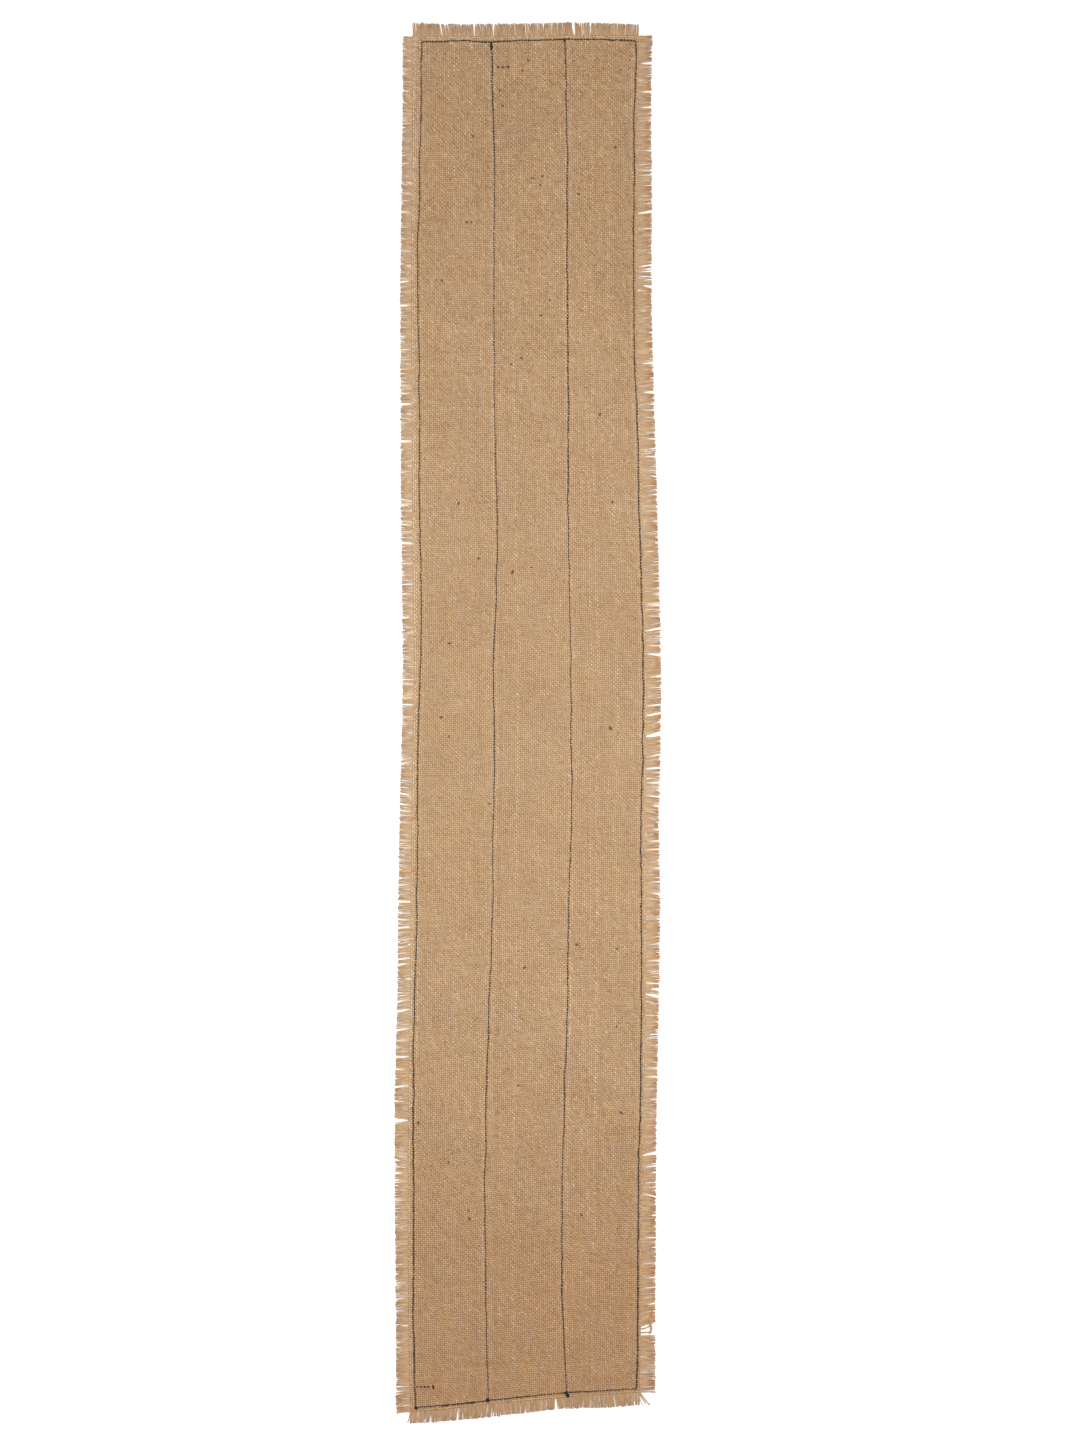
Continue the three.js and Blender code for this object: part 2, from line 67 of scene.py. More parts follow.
SLITS_LEFT = [[-889.2,-892.2,0.0,0.71,0.9], [-880.8,-882.4,0.0,0.79,0.7], [-871.6,-873.4,0.71,1.0,0.9], [-864.7,-865.9,0.71,1.0,0.8], [-859.4,-858.6,0.0,0.21,0.7], [-849.6,-850.2,0.0,0.79,0.7], [-840.0,-841.4,0.07,0.5,0.5], [-825.0,-827.0,0.07,0.57,0.8], [-807.7,-808.3,0.57,1.0,0.7], [-800.7,-802.2,0.14,0.64,0.6], [-785.2,-786.5,0.07,0.79,1.0], [-749.9,-752.3,0.07,1.0,1.1], [-744.5,-744.1,0.0,0.43,0.7], [-735.3,-738.3,0.64,1.0,0.8], [-728.4,-730.6,0.07,1.0,0.9], [-715.5,-716.1,0.21,0.5,0.4], [-706.0,-706.5,0.0,0.43,0.6], [-697.0,-698.9,0.14,0.5,0.5], [-686.7,-687.8,0.71,1.0,1.1], [-681.9,-681.1,0.14,0.64,0.6], [-669.1,-669.0,0.0,0.29,0.9], [-659.0,-660.8,0.57,0.79,0.9], [-643.1,-646.4,0.0,1.0,0.7], [-605.0,-605.6,0.71,1.0,0.4], [-598.8,-599.3,0.21,1.0,1.2], [-587.1,-587.4,0.5,1.0,2.0], [-582.2,-576.9,0.21,1.0,0.8], [-573.1,-566.2,0.64,1.0,2.0], [-566.1,-564.7,0.29,0.64,0.8], [-555.2,-554.0,0.43,0.79,0.8], [-547.1,-548.2,0.21,1.0,0.5], [-533.4,-535.8,0.64,1.0,0.8], [-518.0,-519.0,0.0,1.0,3.9], [-501.3,-501.3,0.0,0.64,0.8], [-489.7,-488.6,0.57,0.79,0.5], [-472.6,-475.2,0.0,1.0,2.3], [-450.7,-450.6,0.43,1.0,0.7], [-443.4,-442.1,0.64,1.0,0.8], [-435.0,-436.1,0.0,1.0,1.7], [-414.0,-414.6,0.07,1.0,1.4], [-396.3,-403.2,0.0,1.0,1.5], [-390.2,-390.5,0.71,1.0,0.6], [-371.3,-377.9,0.0,1.0,2.3], [-359.6,-363.7,0.07,1.0,1.6], [-332.8,-333.7,0.0,0.57,1.5], [-312.7,-315.2,0.07,1.0,1.7], [-306.7,-309.2,0.14,1.0,1.4], [-298.3,-298.5,0.5,1.0,0.6], [-286.9,-291.0,0.0,0.5,1.5], [-272.3,-274.3,0.43,1.0,0.8], [-266.1,-267.0,0.0,1.0,1.8], [-247.3,-246.4,0.57,1.0,1.2], [-232.4,-233.0,0.0,1.0,2.3], [-227.0,-224.9,0.0,1.0,0.7], [-210.2,-211.5,0.07,1.0,0.9], [-200.8,-202.6,0.14,1.0,0.8], [-186.0,-186.5,0.14,1.0,0.8], [-181.6,-178.4,0.43,1.0,1.3], [-176.0,-174.7,0.07,0.36,0.8], [-169.4,-169.2,0.07,1.0,0.7], [-151.7,-150.9,0.07,0.36,0.7], [-145.5,-145.7,0.21,1.0,0.8], [-130.3,-128.9,0.07,1.0,1.1], [-115.1,-113.2,0.14,1.0,1.1], [-107.4,-104.4,0.57,1.0,0.8], [-101.4,-99.9,0.07,0.5,0.7], [-94.3,-91.1,0.07,1.0,1.7], [-51.6,-53.6,0.43,1.0,1.5], [-11.4,-13.4,0.07,0.64,1.2], [-1.7,-1.3,0.5,1.0,1.1], [8.6,7.0,0.14,1.0,0.9], [13.5,14.2,0.0,0.21,0.8], [24.2,23.9,0.0,1.0,1.5], [33.2,33.2,0.0,1.0,1.4], [39.4,40.0,0.14,1.0,0.7], [51.1,50.7,0.0,1.0,1.3], [61.9,62.3,0.64,1.0,0.6], [76.8,76.3,0.36,0.79,0.8], [78.7,81.3,0.07,0.29,0.9], [103.7,102.5,0.14,0.43,0.6], [109.6,109.0,0.71,1.0,0.9], [111.9,108.2,0.0,0.5,0.6], [120.1,119.8,0.21,0.5,0.8], [125.6,126.1,0.43,1.0,1.0], [138.7,138.1,0.5,1.0,1.8], [158.7,159.7,0.64,1.0,0.5], [169.5,168.5,0.0,1.0,0.9], [213.6,215.1,0.21,0.79,0.7], [234.5,235.0,0.0,1.0,2.4], [241.7,242.7,0.07,0.57,0.4], [247.6,247.5,0.71,1.0,0.6], [258.7,259.3,0.07,1.0,1.4], [277.7,277.6,0.0,0.5,1.2], [315.7,314.7,0.29,0.64,0.7], [335.1,335.7,0.07,0.64,0.9], [344.1,343.3,0.0,0.5,1.2], [350.3,350.7,0.21,1.0,0.6], [368.7,367.7,0.07,1.0,2.1], [377.9,379.3,0.36,1.0,0.8], [396.7,399.8,0.71,1.0,0.8], [403.5,404.3,0.0,0.71,1.1], [417.2,416.1,0.0,1.0,2.3], [431.3,429.6,0.07,1.0,0.9], [440.2,441.5,0.0,1.0,0.9], [462.1,462.8,0.0,1.0,1.1], [467.3,470.8,0.0,1.0,0.7], [475.9,478.6,0.0,1.0,0.8], [486.8,488.0,0.07,1.0,1.0], [503.8,505.4,0.57,1.0,1.0], [546.0,545.0,0.14,1.0,2.5], [565.3,562.1,0.36,1.0,0.7], [577.1,575.9,0.21,1.0,1.6], [587.7,587.5,0.36,0.71,0.5], [596.9,597.2,0.0,0.79,1.1], [615.5,617.8,0.0,1.0,1.2], [636.4,637.0,0.5,0.79,0.4], [651.4,650.4,0.0,0.21,0.5], [666.4,667.3,0.0,1.0,1.7], [689.8,692.0,0.07,0.71,0.5], [697.0,697.8,0.5,1.0,0.8], [700.5,709.5,0.0,0.79,1.7], [703.0,703.9,0.5,1.0,0.6], [711.5,713.5,0.0,0.29,0.5], [714.2,713.1,0.43,0.79,0.3], [732.5,729.8,0.29,1.0,0.9], [754.3,754.0,0.64,1.0,0.6], [758.0,756.6,0.0,0.21,0.6], [763.0,763.6,0.21,0.43,0.4], [774.2,772.4,0.14,1.0,0.5], [788.1,789.5,0.21,1.0,0.6], [797.9,801.2,0.0,1.0,1.0], [809.3,811.1,0.07,0.36,0.4], [818.0,818.6,0.36,0.79,0.4], [824.7,826.0,0.43,1.0,1.2], [841.0,840.9,0.0,0.21,0.6], [850.7,853.3,0.29,1.0,0.7], [864.3,865.7,0.07,1.0,1.4]]
SLITS_RIGHT = [[-871.8,-871.3,0.0,1.0,1.0], [-855.7,-856.4,0.43,0.64,1.3], [-838.4,-840.0,0.29,1.0,0.7], [-826.2,-828.1,0.0,0.64,1.0], [-820.8,-822.1,0.64,1.0,1.2], [-808.9,-810.0,0.29,0.64,0.6], [-803.3,-791.0,0.14,1.0,3.8], [-793.2,-791.5,0.0,0.57,1.2], [-787.8,-784.6,0.07,0.57,1.5], [-772.1,-767.3,0.0,1.0,1.4], [-760.5,-756.7,0.43,1.0,1.9], [-737.7,-736.4,0.0,1.0,1.7], [-725.2,-723.7,0.07,1.0,1.0], [-712.3,-711.3,0.64,1.0,0.5], [-704.9,-705.1,0.0,1.0,1.1], [-699.3,-697.4,0.36,0.71,0.6], [-672.5,-670.5,0.0,1.0,1.2], [-657.5,-659.4,0.0,1.0,1.1], [-653.2,-652.6,0.36,0.79,0.6], [-634.5,-634.5,0.0,0.79,1.0], [-627.4,-629.0,0.21,1.0,0.8], [-613.8,-618.1,0.0,1.0,1.8], [-599.9,-598.6,0.21,1.0,1.3], [-579.7,-577.8,0.0,1.0,1.8], [-564.8,-559.9,0.07,1.0,2.9], [-548.4,-544.7,0.21,1.0,0.8], [-527.9,-528.4,0.14,1.0,1.3], [-517.9,-518.3,0.0,1.0,0.9], [-512.3,-512.4,0.0,0.36,1.2], [-503.5,-503.7,0.64,1.0,0.8], [-503.0,-503.2,0.0,0.21,1.0], [-486.1,-484.2,0.57,1.0,0.5], [-477.8,-476.6,0.0,1.0,1.2], [-461.6,-462.5,0.0,1.0,1.3], [-450.7,-450.5,0.07,1.0,1.3], [-439.9,-441.2,0.0,1.0,1.1], [-433.1,-433.7,0.64,1.0,0.9], [-400.8,-398.4,0.64,1.0,0.8], [-388.0,-388.1,0.21,0.64,0.7], [-364.6,-369.0,0.43,1.0,1.0], [-349.8,-360.1,0.0,1.0,2.8], [-346.6,-347.6,0.5,1.0,2.7], [-340.6,-338.4,0.0,1.0,1.8], [-324.6,-323.7,0.07,1.0,1.6], [-311.0,-309.6,0.0,1.0,1.3], [-282.6,-278.7,0.0,1.0,0.9], [-245.9,-245.8,0.21,0.43,0.9], [-227.3,-230.8,0.0,1.0,1.3], [-220.2,-223.7,0.36,1.0,1.3], [-214.9,-214.2,0.14,0.43,0.6], [-214.1,-214.0,0.64,1.0,1.0], [-197.5,-197.8,0.14,0.43,0.9], [-189.5,-189.3,0.64,1.0,1.4], [-181.9,-178.3,0.07,1.0,1.0], [-171.8,-170.8,0.43,1.0,0.5], [-155.0,-153.0,0.07,1.0,1.5], [-144.7,-145.1,0.43,0.79,1.0], [-144.4,-145.1,0.07,0.29,1.4], [-138.0,-138.3,0.5,1.0,1.8], [-128.6,-129.8,0.71,1.0,1.3], [-106.5,-109.0,0.64,1.0,1.6], [-94.1,-95.6,0.0,1.0,1.6], [-85.6,-87.2,0.29,1.0,0.9], [-78.7,-77.6,0.21,1.0,1.9], [-72.0,-71.5,0.07,0.5,0.9], [-70.2,-69.4,0.64,1.0,0.7], [-59.9,-57.2,0.07,1.0,1.9], [-44.8,-38.7,0.29,1.0,1.1], [-26.1,-23.7,0.29,1.0,1.0], [-18.6,-12.9,0.0,1.0,4.3], [6.7,16.6,0.0,1.0,2.3], [22.3,24.9,0.07,1.0,1.8], [46.1,47.1,0.36,1.0,0.9], [51.5,52.0,0.07,0.29,0.4], [59.4,62.1,0.29,1.0,1.9], [91.5,88.6,0.0,1.0,2.1], [101.8,101.0,0.07,1.0,1.6], [120.4,125.3,0.21,1.0,1.8], [142.2,142.3,0.57,0.79,0.6], [145.3,145.0,0.07,0.36,0.5], [154.9,157.2,0.07,1.0,1.2], [162.3,161.8,0.0,0.21,0.7], [168.3,170.6,0.36,1.0,0.9], [175.1,176.8,0.43,1.0,0.9], [193.6,196.0,0.57,1.0,0.8], [206.6,208.1,0.64,1.0,0.4], [223.7,224.8,0.36,0.64,0.6], [235.9,236.6,0.5,0.71,0.7], [245.2,243.6,0.0,0.29,0.5], [254.0,254.5,0.14,0.43,0.4], [263.7,263.6,0.14,0.5,0.7], [277.0,277.4,0.07,1.0,1.0], [284.0,283.9,0.71,1.0,0.7], [291.9,291.2,0.29,1.0,0.7], [297.8,298.2,0.43,1.0,0.9], [302.8,305.7,0.29,1.0,0.9], [315.9,315.9,0.43,1.0,0.7], [323.2,321.7,0.5,1.0,1.7], [335.1,334.1,0.64,1.0,0.6], [348.2,348.1,0.43,1.0,1.4], [354.8,357.0,0.29,0.79,0.8], [371.4,371.7,0.57,1.0,1.7], [377.5,374.3,0.14,0.36,0.5], [378.3,380.8,0.36,1.0,1.4], [388.0,386.2,0.71,1.0,0.5], [409.1,409.2,0.64,1.0,1.6], [417.0,416.7,0.5,1.0,0.7], [422.0,423.3,0.14,0.36,0.8], [432.3,432.2,0.29,1.0,2.7], [446.2,447.7,0.5,1.0,1.1], [458.1,457.4,0.14,0.57,0.5], [469.0,470.8,0.36,1.0,1.3], [486.6,488.4,0.29,1.0,1.5], [512.2,513.0,0.14,0.71,0.6], [527.5,529.9,0.0,1.0,1.3], [537.7,538.8,0.36,0.79,1.2], [564.8,565.4,0.14,0.36,1.0], [571.4,569.1,0.5,1.0,2.5], [595.2,600.0,0.29,1.0,1.7], [611.4,615.4,0.71,1.0,1.2], [634.2,638.0,0.71,1.0,0.6], [646.1,646.2,0.5,1.0,0.7], [655.7,657.4,0.21,0.57,0.8], [664.9,667.9,0.0,1.0,2.6], [677.9,679.4,0.57,1.0,0.9], [684.4,684.5,0.64,1.0,0.5], [714.9,716.1,0.14,1.0,1.6], [720.3,722.4,0.14,1.0,1.0], [749.0,746.8,0.71,1.0,0.7], [749.2,751.3,0.14,0.57,0.5], [757.2,757.6,0.0,0.21,0.5], [769.7,770.3,0.5,0.71,0.6], [788.8,789.6,0.21,1.0,0.9], [802.9,804.7,0.07,1.0,2.1], [823.1,824.9,0.0,1.0,1.0], [835.4,834.6,0.21,0.43,0.5], [840.9,841.2,0.07,0.43,0.5], [861.0,862.0,0.21,1.0,2.6], [884.1,885.9,0.07,0.79,0.9]]
SLITS_HEAD = [[-147.0,-146.7,0.36,1.0,1.1], [-111.8,-115.3,0.0,1.0,1.3], [-102.8,-105.4,0.43,1.0,0.8], [-96.4,-97.5,0.43,1.0,0.6], [-90.3,-90.1,0.07,0.5,0.7], [-70.4,-71.0,0.07,1.0,1.9], [-58.3,-59.5,0.5,1.0,0.4], [-54.1,-54.2,0.14,1.0,0.6], [-45.6,-45.9,0.14,1.0,1.3], [-37.7,-37.7,0.5,1.0,0.6], [-36.5,-36.5,0.0,0.36,0.6], [-25.8,-27.5,0.36,1.0,0.7], [-15.0,-14.2,0.43,1.0,0.5], [-4.8,-8.0,0.71,1.0,0.6], [12.0,11.4,0.0,1.0,1.0], [29.7,30.1,0.36,1.0,1.2], [33.8,34.5,0.0,0.36,0.4], [42.5,41.8,0.29,0.5,0.4], [44.0,45.3,0.64,1.0,1.0], [61.6,58.0,0.0,1.0,3.0], [81.5,81.3,0.0,1.0,1.7], [87.9,88.2,0.71,1.0,0.9], [88.4,89.8,0.21,0.43,0.4], [113.1,113.9,0.43,1.0,0.7], [124.2,124.5,0.0,0.21,0.4], [133.8,134.0,0.57,1.0,0.6], [139.2,140.3,0.64,1.0,0.6], [141.0,141.0,0.0,0.36,0.3]]
SLITS_FOOT = [[-150.2,-150.7,0.14,1.0,0.7], [-142.4,-145.9,0.0,0.71,0.8], [-114.8,-112.4,0.64,1.0,0.5], [-108.0,-106.5,0.43,0.64,0.4], [-100.2,-102.0,0.07,0.79,0.8], [-91.4,-92.0,0.0,1.0,1.9], [-85.1,-85.5,0.43,1.0,1.2], [-70.0,-70.0,0.5,0.79,0.6], [-51.8,-54.9,0.43,1.0,0.8], [-44.6,-45.8,0.64,1.0,1.1], [-31.8,-31.5,0.57,0.79,0.5], [-31.1,-29.5,0.0,0.21,0.4], [-9.9,-10.0,0.36,1.0,0.5], [14.5,17.6,0.29,1.0,0.8], [35.2,36.7,0.0,1.0,2.9], [47.9,48.6,0.07,0.43,0.9], [48.6,50.6,0.64,1.0,0.7], [59.3,59.0,0.36,0.57,0.4], [72.0,70.6,0.43,1.0,0.9], [84.3,85.4,0.57,1.0,0.6], [108.9,115.6,0.07,1.0,1.2]]

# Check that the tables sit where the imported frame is.
g0, g1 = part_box("ground_cloth")
assert abs(g0[0] * 1000 - min(p[0] for p in ROOTL)) < 1.0, (g0, "tables and frame differ")
assert abs(g1[1] * 1000 - max(p[1] for p in ROOTH)) < 1.0, (g1, "tables and frame differ")


def smooth_line(points, axis, sigma=14.0, step=4.0):
    """The other coordinate as a function of the one along axis, with its corners eased."""
    p = sorted(([q[axis], q[1 - axis]] for q in points))
    s = np.array([q[0] for q in p])
    v = np.array([q[1] for q in p])
    grid = np.arange(s[0] - 60, s[-1] + 60 + step, step)
    val = np.interp(grid, s, v)
    # straight on past both ends
    a = grid < s[0]
    val[a] = v[0] + (grid[a] - s[0]) * (v[1] - v[0]) / (s[1] - s[0]) * 0.5
    a = grid > s[-1]
    val[a] = v[-1] + (grid[a] - s[-1]) * (v[-1] - v[-2]) / (s[-1] - s[-2]) * 0.5
    n = int(3 * sigma / step)
    k = np.exp(-0.5 * (np.arange(-n, n + 1) * step / sigma) ** 2)
    k /= k.sum()
    pad = np.concatenate([val[0] - (val[1] - val[0]) * np.arange(n, 0, -1), val, val[-1] + (val[-1] - val[-2]) * np.arange(1, n + 1)])
    val = np.convolve(pad, k, "valid")
    return lambda x: np.interp(x, grid, val)


XL = smooth_line(ROOTL, 1)
XR = smooth_line(ROOTR, 1)
YH = smooth_line(ROOTH, 0, 8)
YF = smooth_line(ROOTF, 0, 8)
TL = smooth_line(TIPL, 1, 6)
TR = smooth_line(TIPR, 1, 6)
TH = smooth_line(TIPH, 0, 5)
TF = smooth_line(TIPF, 0, 5)
S_LEFT = smooth_line(LEFT, 1, 9)
S_RIGHT = smooth_line(RIGHT, 1, 9)
S_IL = smooth_line(INNER_LEFT, 1, 9)
S_IR = smooth_line(INNER_RIGHT, 1, 9)
S_HEAD = smooth_line(HEAD, 0, 6)
S_FOOT = smooth_line(FOOT, 0, 6)
Y_HEAD_END, Y_FOOT_END = 890.0, -894.0

# ------------------------------------------------------------------ the lie of the cloth
BASE_Z = 1.05  # middle of the cloth's thickness over the table, mm
NU, NV = 117, 688  # warp and weft yarns
PITCH = 2.6
AMP = 0.36  # how far each yarn rises and dips over its neighbours
W_YARN, H_YARN = 2.38, 0.80

_waves = np.random.default_rng(7)
WAVES = [
    (a, 2 * math.pi / wx * sx, 2 * math.pi / wy, _waves.uniform(0, 2 * math.pi))
    for a, wx, sx, wy in (
        (0.34, 900, 1, 420),
        (0.28, 700, -1, 260),
        (0.22, 420, 1, 175),
        (0.16, 300, -1, 118),
        (0.10, 190, 1, 84),
    )
]
DRIFT = [
    (a, 2 * math.pi / wx, 2 * math.pi / wy, _waves.uniform(0, 2 * math.pi))
    for a, wx, wy in ((1.1, 620, 760), (0.7, 310, 350), (0.45, 150, 190), (0.25, 83, 71), (0.16, 41, 47))
]


def ripple(x, y):
    """Height of the cloth's middle over the table: low waves, mostly across the length."""
    z = np.zeros(np.broadcast(x, y).shape)
    for a, kx, ky, ph in WAVES:
        z = z + a * np.sin(kx * x + ky * y + ph)
    z = 0.55 * (z + 1.0)
    return BASE_Z + np.maximum(z, 0) ** 1.3


def drift(x, y):
    """How far a weft wanders from straight, which bows and skews the weave a little."""
    d = 0
    for a, kx, ky, ph in DRIFT:
        d = d + a * np.sin(kx * x + ky * y + ph)
    return d


def cloth_point(u, v):
    """Where warp fraction u and weft fraction v cross, in mm."""
    x = -150 + 295 * u + 0 * v
    y = -885 + 1782 * v + 0 * u
    for _ in range(3):
        x = XL(y) + (XR(y) - XL(y)) * u
        y = YF(x) + (YH(x) - YF(x)) * v
    edge = np.minimum(1, np.minimum(np.minimum(u, 1 - u) * 12, np.minimum(v, 1 - v) * 60))
    y = y + drift(x, y) * edge
    x = x + 0.45 * edge * (np.sin(y / 37.0 + 9 * u) + 0.6 * np.sin(y / 13.7 + 31 * u))
    return x, y


def seam_distance(x, y):
    """Distance in mm to the nearest stitch line."""
    inside = (y < Y_HEAD_END + 3) & (y > Y_FOOT_END - 3)
    d = np.full(np.broadcast(x, y).shape, 99.0)
    for f in (S_LEFT, S_RIGHT, S_IL, S_IR):
        d = np.minimum(d, np.where(inside, np.abs(x - f(y)), 99.0))
    for f in (S_HEAD, S_FOOT):
        d = np.minimum(d, np.where((x > S_LEFT(y) - 1) & (x < S_RIGHT(y) + 1), np.abs(y - f(x)), 99.0))
    return d


def smooth(t):
    t = np.clip(t, 0, 1)
    return t * t * (3 - 2 * t)


def seam_ridge_highlight(x, y):
    """Painted highlight: where the weave stands proud along both sides of every seam, and over
    the free margin outside the outer one, it is painted paler, as if catching more light."""
    left, right, head, foot = x - S_LEFT(y), S_RIGHT(y) - x, S_HEAD(x) - y, y - S_FOOT(x)
    inside = np.minimum(np.minimum(left, right), np.minimum(head, foot))
    margin = smooth((-inside - 1.2) / 1.8) * np.where(right < np.minimum(np.minimum(left, head), foot), 0.6, 1.0)
    beside = np.exp(-(((inside - 3.9) / 1.6) ** 2))
    inner = np.minimum(np.abs(x - S_IL(y)), np.abs(x - S_IR(y)))
    beside = np.maximum(beside, 0.85 * np.exp(-(((inner - 3.9) / 1.6) ** 2)) * (inside > 0))
    return np.maximum(margin, 0.85 * beside)


def squeeze(x, y):
    """How much of its full rise the weave keeps: less where a seam pulls it tight."""
    return 1 - 0.36 * np.exp(-((seam_distance(x, y) / 1.5) ** 2))


# ------------------------------------------------------------------ meshes from tubes
collection = bpy.context.scene.collection


def tubes(name, C, W, H, K=4, tone=None, cap=True, seg=None, phase=0.0):
    """A mesh of many tubes. C (N, M, 3) are the points down their middles in mm, W and H
    (N, M) their widths and heights, tone (N, M, 3) three numbers that the material reads.
    Also lays out the bake map, a cell of it for each stretch of tube."""
    N, M = C.shape[:2]
    T = np.gradient(C, axis=1)
    T /= np.linalg.norm(T, axis=2, keepdims=True) + 1e-12
    side = np.stack([T[..., 1], -T[..., 0], np.zeros((N, M))], -1)
    side /= np.linalg.norm(side, axis=2, keepdims=True) + 1e-9
    up = np.cross(side, T)
    a = np.arange(K) * 2 * math.pi / K + phase
    ca, sa = np.cos(a), np.sin(a)
    V = (
        C[:, :, None, :]
        + side[:, :, None, :] * (W[:, :, None] / 2 * ca)[..., None]
        + up[:, :, None, :] * (H[:, :, None] / 2 * sa)[..., None]
    )
    V = V * MM
    nv = N * M * K
    base = (np.arange(N)[:, None] * M + np.arange(M - 1)[None, :]) * K  # (N, M-1)
    k = np.arange(K)
    k2 = (k + 1) % K
    q = np.stack(
        [
            base[..., None] + k,
            base[..., None] + k2,
            base[..., None] + K + k2,
            base[..., None] + K + k,
        ],
        -1,
    )  # (N, M-1, K, 4)
    # side points to the right of the run and up is up, so this order faces out
    quads = q.reshape(-1, 4)[:, ::-1]
    nq = len(quads)
    loops = [quads.reshape(-1)]
    starts = [np.arange(nq) * 4]
    if cap:
        first = (np.arange(N) * M * K)[:, None] + k
        last = (np.arange(N) * M * K + (M - 1) * K)[:, None] + k[::-1]
        caps = np.concatenate([first, last])
        loops.append(caps.reshape(-1))
        starts.append(nq * 4 + np.arange(2 * N) * K)
    loops = np.concatenate(loops).astype(np.int32)
    starts = np.concatenate(starts).astype(np.int32)
    me = bpy.data.meshes.new(name)
    me.vertices.add(nv)
    me.vertices.foreach_set("co", V.reshape(-1).astype(np.float32))
    me.loops.add(len(loops))
    me.loops.foreach_set("vertex_index", loops)
    me.polygons.add(len(starts))
    me.polygons.foreach_set("loop_start", starts)
    me.polygons.foreach_set("use_smooth", np.ones(len(starts), bool))
    # bake map
    S = seg or max(1, round((M - 1) / 48))
    per = int(math.ceil((M - 1) / S))
    cells = N * S
    cols = max(1, int(math.ceil(math.sqrt(cells * per / K))))
    rows = int(math.ceil(cells / cols))
    m = np.arange(M - 1)
    sg = m // per
    cell = np.arange(N)[:, None] * S + sg[None, :]
    cx, cy = cell % cols, cell // cols
    low = (m - sg * per) / per
    high = (m + 1 - sg * per) / per
    ku = np.arange(K)[None, None, :]
    u0 = (cx[..., None] + 0.06 + 0.88 * ku / K) / cols
    u1 = (cx[..., None] + 0.06 + 0.88 * (ku + 1) / K) / cols
    v0 = (cy + 0.04 + 0.92 * low[None, :]) / rows
    v1 = (cy + 0.04 + 0.92 * high[None, :]) / rows
    v0, v1 = v0[..., None] + 0 * u0, v1[..., None] + 0 * u0
    uv = np.stack(
        [np.stack([u0, v0], -1), np.stack([u1, v0], -1), np.stack([u1, v1], -1), np.stack([u0, v1], -1)],
        -2,
    ).reshape(-1, 4, 2)[:, ::-1]
    uvs = [uv.reshape(-1)]
    if cap:
        c0 = np.stack([(cx[:, 0] + 0.5) / cols, (cy[:, 0] + 0.03) / rows], -1)
        c1 = np.stack([(cx[:, -1] + 0.5) / cols, (cy[:, -1] + 0.97) / rows], -1)
        spot = np.stack([ca * 0.3 / cols, sa * 0.02 / rows], -1)
        uvs.append((c0[:, None, :] + spot[None]).reshape(-1))
        uvs.append((c1[:, None, :] + spot[None, ::-1]).reshape(-1))
    layer = me.uv_layers.new(name="OFBake")
    layer.data.foreach_set("uv", np.concatenate(uvs).astype(np.float32))
    if tone is not None:
        col = np.ones((N, M, K, 4), np.float32)
        col[..., :3] = tone[:, :, None, :]
        at = me.color_attributes.new("tone", "FLOAT_COLOR", "POINT")
        at.data.foreach_set("color", col.reshape(-1))
    me.update(calc_edges=True)
    ob = bpy.data.objects.new(name, me)
    collection.objects.link(ob)
    return ob


def wander(rng, n, s, waves, size):
    """Smooth random numbers, one row for each of n tubes, along s (mm)."""
    out = np.zeros((n,) + s.shape[-1:])
    for w in waves:
        f = 2 * math.pi / (w * rng.uniform(0.7, 1.4, (n, 1)))
        out += np.sin(s * f + rng.uniform(0, 2 * math.pi, (n, 1)))
    return size * out / math.sqrt(len(waves) / 2)


def show(ob, material, nodes=()):
    ob.data.materials.clear()
    ob.data.materials.append(material)
    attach(ob, "root")
    if nodes:
        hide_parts(*nodes)
    return ob


# ------------------------------------------------------------------ materials
def nodes_of(name):
    m = bpy.data.materials.new(name)
    m.use_nodes = True
    nt = m.node_tree
    return m, nt, nt.nodes["Principled BSDF"]


def add(nt, kind, **values):
    n = nt.nodes.new(kind)
    for k, v in values.items():
        if k in n.inputs.keys():
            n.inputs[k].default_value = v
        else:
            setattr(n, k, v)
    return n


def ramp(nt, stops):
    r = nt.nodes.new("ShaderNodeValToRGB")
    r.color_ramp.elements[0].position = stops[0][0]
    r.color_ramp.elements[0].color = (*stops[0][1], 1)
    r.color_ramp.elements[1].position = stops[-1][0]
    r.color_ramp.elements[1].color = (*stops[-1][1], 1)
    for p, c in stops[1:-1]:
        e = r.color_ramp.elements.new(p)
        e.color = (*c, 1)
    return r


def mix(nt, kind, fac, a, b):
    n = nt.nodes.new("ShaderNodeMix")
    n.data_type = "RGBA"
    n.blend_type = kind
    for socket, value in ((n.inputs[0], fac), (n.inputs[6], a), (n.inputs[7], b)):
        if hasattr(value, "is_linked") or hasattr(value, "links"):
            nt.links.new(value, socket)
        elif isinstance(value, (int, float)):
            socket.default_value = value
        else:
            socket.default_value = (*value, 1)
    return n.outputs[2]


GAIN = 1.0


